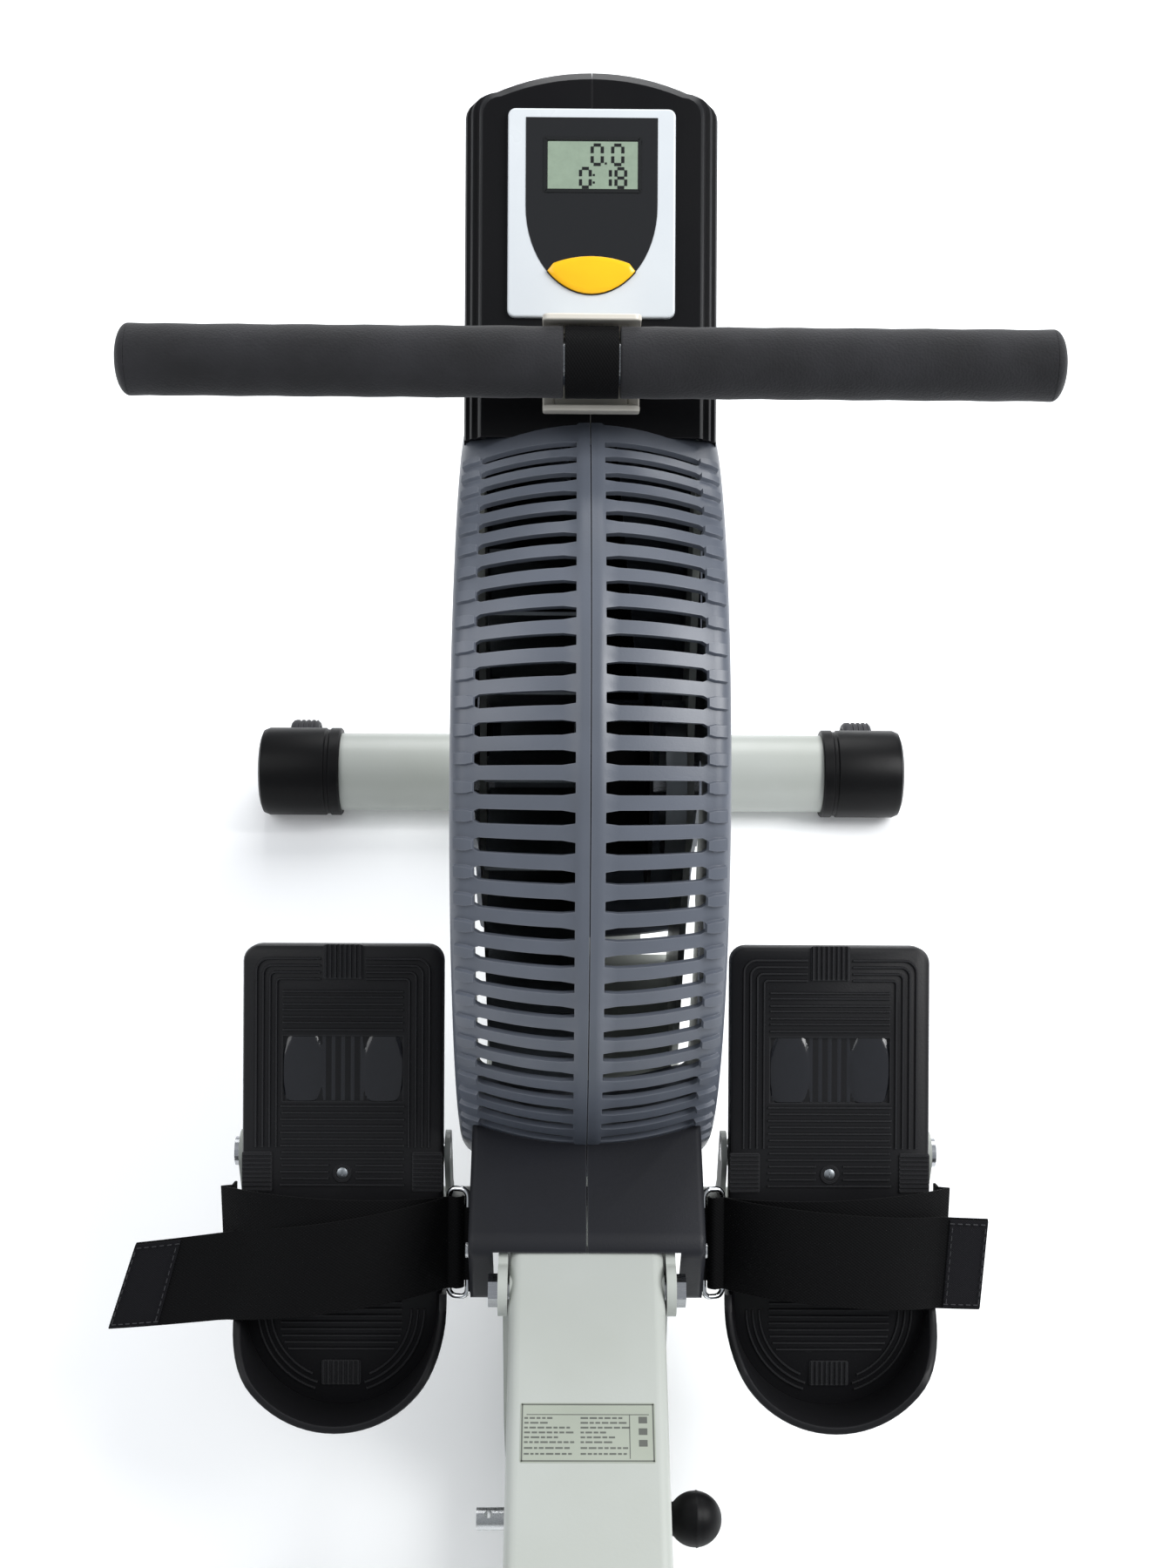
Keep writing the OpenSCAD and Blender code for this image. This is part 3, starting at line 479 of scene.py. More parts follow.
def makeCageHalf(name, side):
    bm = bmesh.new()
    rise = cage["pitch"] / 4
    sweep = cage["firstRear"] + math.pi / 2 - cage["bottomGap"] / 2
    start = cage["firstRear"] - round(sweep / rise) * rise
    steps = int((2 * math.pi - cage["bottomGap"]) / rise)
    profile = cageProfile()
    verts = [bm.verts.new((x, r * math.cos(start), r * math.sin(start))) for x, r in profile]
    edges = [bm.edges.new(pair) for pair in zip(verts, verts[1:])]
    bmesh.ops.spin(bm, geom=verts + edges, cent=(0, 0, 0), axis=(1, 0, 0), angle=steps * rise, steps=steps,
                   use_merge=False, use_duplicate=False)
    holes, pockets = [], []
    for f in bm.faces:
        middle = f.calc_center_median()
        angle = angleAround(middle)
        radius = math.hypot(middle.y, middle.z)
        phase = slotPhase(angle)
        inSlot = phase is not None and abs(phase) < 0.25
        if radius > 0.2 and cage["towerFrom"] < angle < cage["towerTo"] and middle.x < cage["towerHalf"]:
            holes.append(f)
        elif inSlot and cage["spine"] < middle.x < cage["slotEnd"]:
            holes.append(f)
        elif inSlot and cage["slotEnd"] < middle.x < cage["pocketEnd"]:
            pockets.append(f)
        elif middle.x > cage["half"] - 0.001 and cage["intakeFrom"] < radius < cage["intakeTo"]:
            turn = (angle / (2 * math.pi) - 1 / 24) * cage["intakes"]
            if abs(turn - round(turn)) < 0.125:
                holes.append(f)
    bmesh.ops.delete(bm, geom=holes, context="FACES")
    # slot mouths narrow at both ends, as rounded ones do
    for v in bm.verts:
        if v.is_boundary and abs(v.co.x - cage["spine"]) < 2e-4 or abs(v.co.x - cage["slotEnd"]) < 2e-4:
            phase = slotPhase(angleAround(v.co))
            if phase is not None and 0.2 < abs(phase) < 0.3:
                turn = -math.copysign(cage["pitch"] * 0.07, phase)
                bmesh.ops.rotate(bm, verts=[v], cent=(0, 0, 0), matrix=Matrix.Rotation(turn, 3, "X"))
    # shallow pockets carry each slot's line over the corner
    bmesh.ops.inset_region(bm, faces=[f for f in pockets if f.is_valid], thickness=0.0006, depth=-0.0022,
                           use_even_offset=True, use_boundary=True)
    if side < 0:
        bmesh.ops.mirror(bm, geom=bm.verts[:] + bm.edges[:] + bm.faces[:], axis="X", merge_dist=0)
        left = [v for v in bm.verts if v.co.x > 0]
        bmesh.ops.delete(bm, geom=left, context="VERTS")
    faceOutward(bm)
    place = Matrix.Translation((0, fanY, fanZ))
    piece = finishPiece(name, bm, "frame", materials["cage"], [f"cage_{name[4:].lower()}"],
                        place, 40, False)
    thick = piece.modifiers.new("wall", "SOLIDIFY")
    thick.thickness = cage["wall"]
    thick.offset = -1
    addBevel(piece, 0.0006, 2, 40)


for word, side in sides:
    makeCageHalf("cage" + word.title(), side)
print("cage made")


# tower housing

tower = {
    "half": 0.069, "length": 0.190, "rise": 0.020, "bevel": 0.006, "depth": 0.055, "wall": 0.003,
    "shoulder": 0.010, "consoleS": 0.116,
}


def towerOutline(half, top, rise, shoulder):
    # half outline (x, s) from the seam up the arch and down the side
    radius = (tower["half"] ** 2 + rise ** 2) / (2 * rise)
    points = []
    edge = half - shoulder
    for n in range(9):
        x = edge * n / 8
        points.append((x, top - radius + math.sqrt(radius ** 2 - x * x)))
    x, s = points[-1]
    return points + arc(edge, s - shoulder, shoulder, range(72, -1, -18))


def makeHousingHalf(name, side):
    bm = bmesh.new()
    top = tower["length"] + tower["bevel"]
    layers = [  # (half width, top, height off the face)
        (tower["half"] - 0.0005, top - 0.001, -0.014), (tower["half"] - 0.0015, top - 0.0012, -0.012),
        (0.0655, top - 0.0013, -0.0118), (0.0650, top - 0.0015, -0.0080), (0.0640, top - 0.0018, -0.0066),
        (0.0612, top - 0.0020, -0.0064), (0.0604, top - 0.0054, -0.0022), (0.0588, top - 0.0072, 0.0),
    ]
    rows = []
    for half, high, h in layers:
        points = towerOutline(half, high, tower["rise"], tower["shoulder"])
        points.append((points[-1][0], -0.004))
        rows.append([bm.verts.new((x, s, h)) for x, s in points])
    for low, high in zip(rows, rows[1:]):
        for n in range(len(low) - 1):
            bm.faces.new((low[n], low[n + 1], high[n + 1], high[n]))
    # the face, with a window for the console and a slot for the strap
    rim = rows[-1]
    window = [(0, 0.0562), (0.0412, 0.0562), (0.0452, 0.0522)]
    window += [(x, -s) for x, s in reversed(window)]
    inner = [bm.verts.new((x, tower["consoleS"] + s, 0)) for x, s in window]
    seam = bm.verts.new((0, -0.004, 0))
    slot = ((0, 0.042, 0), (0.0185, 0.042, 0), (0.0185, 0.0125, 0), (0, 0.0125, 0))
    strapSlot = [bm.verts.new(p) for p in slot]
    pairs = [*zip(inner, inner[1:]), *zip(strapSlot, strapSlot[1:]), (rim[0], inner[0]),
             (inner[-1], strapSlot[0]), (strapSlot[-1], seam), (seam, rim[-1])]
    edges = [bm.edges.new(pair) for pair in pairs]
    edges += [e for e in bm.edges if e.verts[0] in rim and e.verts[1] in rim]
    bmesh.ops.triangle_fill(bm, edges=list(set(edges)), use_beauty=True)
    for v in bm.verts:
        v.co = faceFrame @ v.co
    # the body behind the face runs down to the cage
    back = rows[0]
    rear = towerOutline(tower["half"] - 0.0005, top - 0.0025, tower["rise"], tower["shoulder"])
    ring = [bm.verts.new(faceFrame @ Vector((x, s, -tower["depth"]))) for x, s in rear]
    for n in range(len(back) - 2):
        bm.faces.new((back[n], ring[n], ring[n + 1], back[n + 1]))
    foot = [bm.verts.new((tower["half"] - 0.0005, fanY + y, fanZ + z)) for y, z in
            ((0.2275, 0.094), (0.2235, 0.044), (0.170, 0.100), (0.110, 0.165), (0.062, 0.193))]
    bm.faces.new((back[-2], ring[-1], *foot, back[-1]))
    seamFoot = [bm.verts.new((0.0, fanY + y, fanZ + z)) for y, z in ((0.2275, 0.094), (0.2235, 0.044))]
    bm.faces.new(ring + [foot[0], seamFoot[0]])
    bm.faces.new((foot[0], foot[1], seamFoot[1], seamFoot[0]))
    faceOutward(bm)
    for v in bm.verts:
        v.co.x += 0.0001
    if side < 0:
        flipSide(bm)
    piece = finishPiece(name, bm, "frame", materials["shell"],
                        [f"housing_{name[7:].lower()}"], None, 40, False)
    thick = piece.modifiers.new("wall", "SOLIDIFY")
    thick.thickness = tower["wall"]
    thick.offset = -1
    addBevel(piece, 0.0009, 3, 35)


for word, side in sides:
    makeHousingHalf("housing" + word.title(), side)
print("tower made")


# rear cover

rearCover = {
    "half": 0.062, "wall": 0.003, "gap": 0.0006, "bevel": 0.0035,
    "outline": ((-0.180, 0.266), (-0.2835, 0.264), (-0.291, 0.2592), (-0.291, 0.215), (-0.255, 0.160),
                (-0.150, 0.160)),
}


def cutPiece(piece, cutters):
    # takes the cutters' shapes out of a piece and removes them
    for cutter in cutters:
        cut = piece.modifiers.new("cut", "BOOLEAN")
        cut.operation = "DIFFERENCE"
        cut.solver = "EXACT"
        cut.object = cutter
    graph = bpy.context.evaluated_depsgraph_get()
    mesh = bpy.data.meshes.new_from_object(piece.evaluated_get(graph))
    piece.modifiers.clear()
    piece.data = mesh
    for cutter in cutters:
        bpy.data.objects.remove(cutter, do_unlink=True)
    for polygon in piece.data.polygons:
        polygon.use_smooth = True
    piece.data.set_sharp_from_angle(angle=math.radians(32))


def spareShape(name, bm):
    bmesh.ops.recalc_face_normals(bm, faces=bm.faces)
    mesh = bpy.data.meshes.new(name)
    bm.to_mesh(mesh)
    bm.free()
    shape = bpy.data.objects.new(name, mesh)
    bpy.context.collection.objects.link(shape)
    return shape


def fanSpace(grow):
    # the cage's outer form as a closed solid
    bm = bmesh.new()
    low = cage["half"] - cage["corner"]
    points = [(x, cageRadius(x) + grow) for x in (0, 0.02, 0.035, 0.05, low)]
    points += [(cage["half"] + grow, cageRadius(low) - cage["corner"] + grow), (cage["half"] + grow, 0)]
    profile = [(0, -points[-1][0])] + [(r, -x) for x, r in reversed(points[:-1])] + \
              [(r, x) for x, r in points[1:-1]] + [(0, points[-1][0])]
    startTurning(bm)
    turnProfile(bm, profile, alongX(0, fanY, fanZ), 96)
    return spareShape("fanSpace", bm)


def coverSolid(half, inset, shift):
    bm = bmesh.new()
    points = []
    for n, (y, z) in enumerate(rearCover["outline"]):
        inY = inset if 0 < n < 4 else 0
        points.append((fanY + y + inY, z - inset if n < 3 else z - (inset * 3 if n > 3 else 0)))
    flat = face(bm, points)
    raiseFace(bm, flat, (0, 0, half))
    turn = Matrix(((0, 0, 1, shift), (1, 0, 0, 0), (0, 1, 0, 0), (0, 0, 0, 1)))
    bmesh.ops.transform(bm, matrix=turn, verts=bm.verts)
    return bm


def makeRearCover():
    for word, side in sides:
        bm = coverSolid(rearCover["half"] - rearCover["gap"] / 2, 0, rearCover["gap"] / 2)
        bmesh.ops.recalc_face_normals(bm, faces=bm.faces)
        outer = [e for e in bm.edges if e.calc_face_angle(0) > math.radians(12)
                 and max(v.co.x for v in e.verts) > 0.001 and min(v.co.z for v in e.verts) > 0.2]
        bmesh.ops.bevel(bm, geom=outer, offset=rearCover["bevel"], offset_type="OFFSET", affect="EDGES",
                        segments=4, profile=0.5, material=-1, clamp_overlap=True)
        if side < 0:
            flipSide(bm)
        piece = finishPiece("rearCover" + word.title(), bm, "frame", materials["cover"],
                            ["rear_cover"])
        cavity = coverSolid(rearCover["half"] - rearCover["wall"], rearCover["wall"], 0)
        bmesh.ops.scale(cavity, verts=cavity.verts, vec=Vector((side, 1, 1)))
        notch = bmesh.new()
        block(notch, (0, fanY - 0.345, 0.13), (0.098, 0.15, 0.259))
        tubeHole = bmesh.new()
        disc(tubeHole, 0.0135, 0.3, alongX(0, fanY - 0.2135, 0.1784))
        cutPiece(piece, [spareShape("cavity", cavity), fanSpace(0.0006), spareShape("notch", notch),
                         spareShape("tubeHole", tubeHole)])


makeRearCover()
print("rear cover made")


# console

console = {
    "width": 0.090, "height": 0.112, "depth": 0.018, "out": 0.0035, "corner": 0.004,
    "panelHalf": 0.0354, "panelTop": 0.051, "panelBend": 0.0035, "panelDrop": 0.0475,
    "glass": (0.0485, 0.0260), "glassFrame": (0.0525, 0.0300), "glassMiddle": 0.025,
    "buttonTop": -0.0235, "buttonArc": 0.057,
}


def onFace(x, s, h):
    return faceFrame @ Matrix.Translation((x, s, h))


def panelOutline(grow=0.0):
    half = console["panelHalf"] + grow
    points = [(half, console["panelTop"] + grow), (-half, console["panelTop"] + grow)]
    for a in range(180, 361, 6):
        points.append((half * math.cos(math.radians(a)),
                       console["panelBend"] + (console["panelDrop"] + grow) * math.sin(math.radians(a))))
    return points


def buttonOutline(grow=0.0):
    # the foot of the panel's outline under a flat arc
    middle = console["buttonTop"] - console["buttonArc"]
    radius = console["buttonArc"] + grow
    foot = [(x, s) for x, s in panelOutline(grow)[2:] if s < middle + math.sqrt(radius ** 2 - x * x)]
    left, right = foot[0][0], foot[-1][0]
    arc = []
    for n in range(1, 15):
        x = right + (left - right) * n / 15
        arc.append((x, middle + math.sqrt(radius ** 2 - x * x)))
    return foot + arc


def makeConsole():
    middle = onFace(0, tower["consoleS"], console["out"])
    bm = bmesh.new()
    prism(bm, roundedOutline(console["width"], console["height"], console["corner"]), -console["depth"], 0)
    case = finishPiece("consoleCase", bm, "frame", materials["silver"], ["console_case"],
                       middle)
    addBevel(case, 0.0012, 4)

    bm = bmesh.new()
    flat = face(bm, panelOutline(), 0.0)
    flat = raiseFace(bm, flat, (0, 0, 0.0003))
    panel = finishPiece("consolePanel", bm, "frame", materials["panel"], ["console_panel"],
                        middle)
    addBevel(panel, 0.0001, 2)

    # black window frame with bevelled inner lip
    bm = bmesh.new()
    outer = face(bm, roundedOutline(*console["glassFrame"], 0.001, 3), 0.0003)
    top = raiseFace(bm, outer, (0, 0, 0.0005))
    insetFace(bm, top, 0.0019)
    insetFace(bm, top, 0.0002, -0.0003)
    finishPiece("displayFrame", bm, "frame", materials["ink"], (),
                middle @ Matrix.Translation((0.0004, console["glassMiddle"] + 0.0006, 0)))

    bm = bmesh.new()
    prism(bm, roundedOutline(*console["glass"], 0.0005, 3), 0.0004, 0.00062)
    finishPiece("displayGlass", bm, "frame", materials["glass"], ["lcd"],
                middle @ Matrix.Translation((0.0006, console["glassMiddle"], 0)))

    bm = bmesh.new()
    for text, x, s, high in (("0.0", 0.0166, 0.0257, 0.0104), ("0:18", 0.0182, 0.0135, 0.0100)):
        drawDigits(bm, text, x, s, high)
    finishPiece("displayDigits", bm, "frame", materials["ink"], (), middle)

    # painted shade: a thin dark sheet round the button stands for the shadowed gap between button and panel
    bm = bmesh.new()
    prism(bm, buttonOutline(0.0004), 0.0003, 0.00035)
    finishPiece("buttonGapPaintedShade", bm, "frame", materials["ink"], (), middle)
    bm = bmesh.new()
    flat = face(bm, buttonOutline(-0.0003), -0.001)
    top = raiseFace(bm, flat, (0, 0, 0.0028))
    insetFace(bm, top, 0.0006, 0.0004)
    insetFace(bm, top, 0.0020, 0.0004)
    finishPiece("modeButton", bm, "button", materials["button"], ["mode_button"], middle)


def drawDigits(bm, text, right, foot, high):
    # seven-segment figures set from the right
    wide, thick = high * 0.52, high * 0.16
    lit = {"0": "abcdef", "1": "bc", "8": "abcdefg"}
    x = right
    for mark in reversed(text):
        if mark in ".:":
            for s in ([0.05] if mark == "." else [0.25, 0.65]):
                block(bm, (x - 0.0007, foot + s * high, 0.0007), (0.0011, 0.0011, 0.0002))
            x -= 0.0026
            continue
        left, middle = x - wide, x - wide / 2
        across, tall = wide - thick, high / 2 - thick
        bars = {
            "a": (middle, high, across, thick), "b": (x, high * 0.75, thick, tall),
            "c": (x, high * 0.25, thick, tall), "d": (middle, 0, across, thick),
            "e": (left, high * 0.25, thick, tall), "f": (left, high * 0.75, thick, tall),
            "g": (middle, high / 2, across, thick),
        }
        for key in lit[mark]:
            bx, bs, bw, bh = bars[key]
            block(bm, (bx, foot + bs, 0.0007), (bw, bh, 0.0002))
        x -= wide + 0.0030


makeConsole()
print("console made")


# handle and its bracket

handle = {
    "s": 0.0275, "h": 0.044, "length": 0.490, "grip": 0.037, "tube": 0.025, "dome": 0.007, "strap": 0.029,
    "bracket": 0.051, "lip": 0.0035, "lipCorner": 0.004, "loop": 0.0176, "webbing": 0.0018, "roller": 0.016,
}


def makeBracket():
    bm = bmesh.new()
    low = handle["s"] - handle["grip"] / 2 - 0.0005
    high = handle["s"] + handle["grip"] / 2 + 0.001
    half = handle["bracket"] / 2
    for start, top, foot in ((low - handle["lip"], 0.031, 0.019), (high, 0.056, 0.0)):
        # a lip: rounded upper corners, seen along the slope
        corner = handle["lipCorner"]
        points = [(-half, foot), (half, foot)]
        points += arc(half - corner, top - corner, corner, range(0, 91, 15))
        points += arc(corner - half, top - corner, corner, range(90, 181, 15))
        flat = face(bm, points)
        fresh = [v for v in bm.verts if not v.tag]
        bmesh.ops.transform(bm, matrix=Matrix(((1, 0, 0, 0), (0, 0, 1, start), (0, 1, 0, 0), (0, 0, 0, 1))),
                            verts=fresh)
        raiseFace(bm, flat, (0, handle["lip"], 0))
        startTurning(bm)
    for x, wide in ((-0.0224, 0.0062), (0.0224, 0.0062)):
        block(bm, (x, handle["s"], 0.0205), (wide, high - low, 0.003))
    for s in ((low + handle["s"] - 0.007) / 2, (high + handle["s"] + 0.007) / 2):
        block(bm, (0, s, 0.0205), (0.0386, abs(s - handle["s"]) * 2 - 0.014, 0.003))
    piece = finishPiece("handleBracket", bm, "frame", materials["bracket"],
                        ["handle_bracket"], onFace(0, 0, 0))
    addBevel(piece, 0.0011, 4)


def makeHandle():
    for word, side in sides:
        place = onFace(0, handle["s"], handle["h"]) @ Matrix.Rotation(side * math.pi / 2, 4, "Y")
        bm = bmesh.new()
        startTurning(bm)
        inner, outer = 0.0147, handle["length"] / 2 - handle["dome"]
        grip, core = handle["grip"] / 2, handle["tube"] / 2 + 0.0002
        profile = [(core, inner), (grip - 0.0012, inner), (grip - 0.0003, inner + 0.0004),
                   (grip, inner + 0.0014)]
        for n in range(1, 24):
            # foam swells and pinches a little along its length
            along = inner + (outer - inner) * n / 24
            profile.append((grip - 0.0002 - 0.00018 * math.sin(n * 1.7 + side), along))
        profile += [(grip, outer - 0.001), (grip, outer), (core, outer), (core, inner)]
        turnProfile(bm, profile, place, 72)
        finishPiece("grip" + word.title(), bm, "handle", materials["foam"], ["grips"], None, 50)
        bm = bmesh.new()
        startTurning(bm)
        profile = [(0, outer + handle["dome"])]
        for n in range(1, 13):
            a = math.radians(90 - 7.5 * n)
            profile.append(((grip - 0.0035) * math.cos(a) + 0.0035 * min(1, n / 4),
                            outer + 0.0004 + (handle["dome"] - 0.0004) * math.sin(a)))
        profile += [(grip, outer + 0.0002), (0, outer + 0.0002)]
        turnProfile(bm, profile, place, 72)
        finishPiece("gripEnd" + word.title(), bm, "handle", materials["foam"], ["handle_caps"],
                    None, 50)


def ribbon(name, path, width, thickness, body, material, replaced=(), place=None):
    # webbing along a path of (point, across) pairs, with its weave running along it
    bm = bmesh.new()
    weave = bm.loops.layers.uv.new("weave")
    shares = [n / 6 - 0.5 for n in range(7)]
    rows = [[bm.verts.new(Vector(point) + Vector(across) * width * share) for share in shares]
            for point, across in path]
    along = 0.0
    for first, second in zip(rows, rows[1:]):
        step = (first[3].co - second[3].co).length
        for n in range(6):
            f = bm.faces.new((first[n], first[n + 1], second[n + 1], second[n]))
            marks = ((shares[n], along), (shares[n + 1], along),
                     (shares[n + 1], along + step), (shares[n], along + step))
            for loop, (share, v) in zip(f.loops, marks):
                loop[weave].uv = (share * width, v)
        along += step
    piece = finishPiece(name, bm, body, material, replaced, place, 60, False)
    thick = piece.modifiers.new("thickness", "SOLIDIFY")
    thick.thickness = thickness
    thick.offset = 0
    addBevel(piece, thickness * 0.3, 2, 60)
    return piece


def makePullStrap():
    across = (1, 0, 0)
    width = handle["strap"] - 0.0012
    loop = [((0, s, h), across) for s, h in
            arc(handle["s"], handle["h"], handle["loop"], [7.5 * n - 90 for n in range(49)])]
    ribbon("handleLoop", loop, width, handle["webbing"], "handle", materials["webbing"], (), onFace(0, 0, 0))
    # the run from the loop through the bracket and round the guide roller, with close rows where it stretches
    heights = [0.0256] + [0.0250 - 0.0055 * n / 16 for n in range(17)]
    heights += [0.0195 - 0.0445 * n / 8 for n in range(1, 9)]
    path = [((0, handle["s"], h), across) for h in heights]
    path += [((0, s, h), across) for s, h in
             arc(handle["s"] - handle["roller"], heights[-1], handle["roller"], range(-12, -85, -12))]
    last = faceFrame @ Vector(path[-1][0])
    world = [(faceFrame @ Vector(p), across) for p, across in path]
    foot = Vector((0.018, fanY + 0.0515, fanZ + 0.020))
    for n in range(1, 11):
        world.append((last.lerp(foot, n / 10), across))
    strap = ribbon("pullStrap", world, width, handle["webbing"], None, materials["webbing"], ["pull_strap"])
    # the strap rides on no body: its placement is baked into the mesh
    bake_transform(strap)


makeBracket()
makeHandle()
makePullStrap()
print("handle made")


# foot plates

footPlate = {
    "half": 0.055, "toe": 0.117, "heel": 0.138, "top": 0.022, "bottom": 0.008, "corner": 0.009,
    "cupOut": 0.003, "cupWall": 0.0045, "cupHeight": 0.036, "cupFront": 0.0095, "cupLean": 0.0015,
    "rib": 0.0011,
    "recess": (0.066, 0.036, 0.049), "lines": (0.0075, 0.0112, 0.0149, 0.0186), "pitch": 0.0036,
    "screw": -0.0083,
}


def plateOutline(inset=0.0):
    half, toe, r = footPlate["half"] - inset, footPlate["toe"] - inset, footPlate["corner"] - inset * 0.5
    points = arc(half - r, toe - r, r, range(0, 91, 15)) + arc(r - half, toe - r, r, range(90, 181, 15))
    return points + arc(0, footPlate["half"] - footPlate["heel"], half, [180 + 7.5 * n for n in range(25)])


def rib(bm, points, width, low, high):
    # a low moulded line along a path in the plate's top
    left, right = [], []
    for n, p in enumerate(points):
        before = Vector(points[max(n - 1, 0)])
        after = Vector(points[min(n + 1, len(points) - 1)])
        along = (after - before).normalized()
        off = Vector((-along.y, along.x)) * width / 2
        left.append(Vector(p) + off)
        right.append(Vector(p) - off)
    rings = []
    for n in range(len(points)):
        quad = ((right[n], low), (right[n].lerp(left[n], 0.25), high), (right[n].lerp(left[n], 0.75), high),
                (left[n], low))
        rings.append([bm.verts.new((p.x, p.y, z)) for p, z in quad])
    for a, b in zip(rings, rings[1:]):
        for n in range(3):
            bm.faces.new((a[n], a[n + 1], b[n + 1], b[n]))
    bm.faces.new(rings[0])
    bm.faces.new(list(reversed(rings[-1])))


def treadRib(bm, points, width=0.0014):
    rib(bm, points, width, footPlate["top"] - 0.0002, footPlate["top"] + footPlate["rib"])


def ribbedTab(bm, x, y, width, depth, count, upright):
    low, high = footPlate["top"] - 0.001, footPlate["top"] + 0.0006
    prism(bm, [(x + a, y + b) for a, b in roundedOutline(width, depth, 0.001, 2)], low, high)
    span = (width if upright else depth) - 0.0024
    for n in range(count):
        along = -span / 2 + span * n / (count - 1)
        if upright:
            path = [(x + along, y + b) for b in (0.0006 - depth / 2, 0, depth / 2 - 0.0002)]
        else:
            path = [(x + a, y + along) for a in (0.0004 - width / 2, 0, width / 2 - 0.0004)]
        rib(bm, path, 0.0016, high - 0.0001, high + 0.0011)


def makeFootPlate(word, side):
    place = pedalFrame(side)
    body = "pedal_" + word
    top = footPlate["top"]
    bm = bmesh.new()
    flat = face(bm, plateOutline(), footPlate["bottom"])
    upper = raiseFace(bm, flat, (0, 0, top - footPlate["bottom"] - 0.0022))
    insetFace(bm, upper, 0.0007, 0.0015)
    insetFace(bm, upper, 0.0012, 0.0007)
    plate = finishPiece(f"footPlate{word.title()}", bm, body, materials["foot"],
                        [f"footplate_{word}"], place, 32)
    wide, high, middle = footPlate["recess"]
    bm = bmesh.new()
    block(bm, (0, middle, top + 0.004), (wide, high, 0.011))
    bmesh.ops.transform(bm, matrix=place, verts=bm.verts)
    cutPiece(plate, [spareShape("recessCutter", bm)])

    # moulded lines: a nest of loops round the toe, rows across the tread
    bm = bmesh.new()
    for inset in footPlate["lines"]:
        half, toe, r = footPlate["half"] - inset, footPlate["toe"] - inset, max(0.0105 - inset * 0.5, 0.002)
        path = [(half, 0.006), (half, 0.05), (half, toe - r)]
        path += arc(half - r, toe - r, r, range(18, 91, 18))
        path.append((0.0125, toe))
        treadRib(bm, path, 0.0015)
        treadRib(bm, [(-x, y) for x, y in reversed(path)], 0.0015)
    for row in (0.0915, 0.0885, 0.0845, 0.0815, 0.0775, 0.0745, 0.0705):
        treadRib(bm, [(-0.033, row), (0, row), (0.033, row)])
    for n in range(13):
        row = 0.0285 - n * footPlate["pitch"]
        half = 0.034 - (0.0008 if n % 2 else 0)
        if abs(row - footPlate["screw"]) > 0.0062:
            treadRib(bm, [(-half, row), (0, row), (half, row)])
        else:
            for s in (-1, 1):
                treadRib(bm, [(s * half, row), (s * 0.02, row), (s * 0.0075, row)][::s])
    for n in range(11):
        row = -0.0685 - n * footPlate["pitch"]
        half = min(0.033, math.sqrt(max(0.0001, 0.041 ** 2 - (row + 0.083) ** 2)) - 0.006)
        treadRib(bm, [(-half, row), (0, row), (half, row)])
    for inset in (0.0095, 0.0130, 0.0165):
        path = arc(0, footPlate["half"] - footPlate["heel"], footPlate["half"] - inset, range(180, 361, 6))
        treadRib(bm, [p for p in path if p[0] < -0.0122])
        treadRib(bm, [p for p in path if p[0] > 0.0122])
    ribbedTab(bm, 0, 0.1079, 0.0215, 0.0190, 8, True)
    ribbedTab(bm, 0, -0.1175, 0.0215, 0.0135, 8, True)
    for s in (-1, 1):
        ribbedTab(bm, s * 0.0467, -0.0075, 0.0166, 0.0218, 9, False)
    # a screw sits in a shallow ring near the axle
    screwPlace = Matrix.Translation((0, footPlate["screw"], 0))
    startTurning(bm)
    turnProfile(bm, [(0.0034, top - 0.0004), (0.0036, top + 0.0008), (0.0050, top + 0.0008),
                     (0.0056, top - 0.0002), (0.0034, top - 0.0004)], screwPlace, 28)
    finishPiece(f"treadLines{word.title()}", bm, body, materials["foot"], (), place, 30)

    bm = bmesh.new()
    startTurning(bm)
    turnProfile(bm, [(0, top + 0.0007), (0.0018, top + 0.0006), (0.0030, top + 0.0001),
                     (0.0032, top - 0.0006)], screwPlace, 24)
    for size in ((0.0032, 0.0006, 0.0004), (0.0006, 0.0032, 0.0004)):
        block(bm, (0, footPlate["screw"], top + 0.0006), size)
    finishPiece(f"plateScrew{word.title()}", bm, body, materials["galvanised"], (), place)

    # clear-faced insert: two shallow lenses either side of four flutes
    bm = bmesh.new()
    columns, rows = 66, 18
    made = bmesh.ops.create_grid(bm, x_segments=columns, y_segments=rows, size=0.5)["verts"]
    for v in made:
        u, t = v.co.x * 2, v.co.y * 2
        if abs(u) > 0.36:
            across = (abs(u) - 0.68) / 0.32
            lift = 0.0026 * math.sqrt(max(0.0, 1 - 0.75 * across ** 2 - 0.55 * t * t)) + 0.0003 * across * (
                1 if u > 0 else -1) * t
        else:
            lift = 0.0004 + 0.00035 * math.cos(u / 0.36 * math.pi * 4.5)
        v.co = Vector((v.co.x * (wide - 0.0006), middle + v.co.y * (high - 0.0006), top - 0.0020 + lift))
    finishPiece(f"footInsert{word.title()}", bm, body, materials["insert"], (), place, 40)

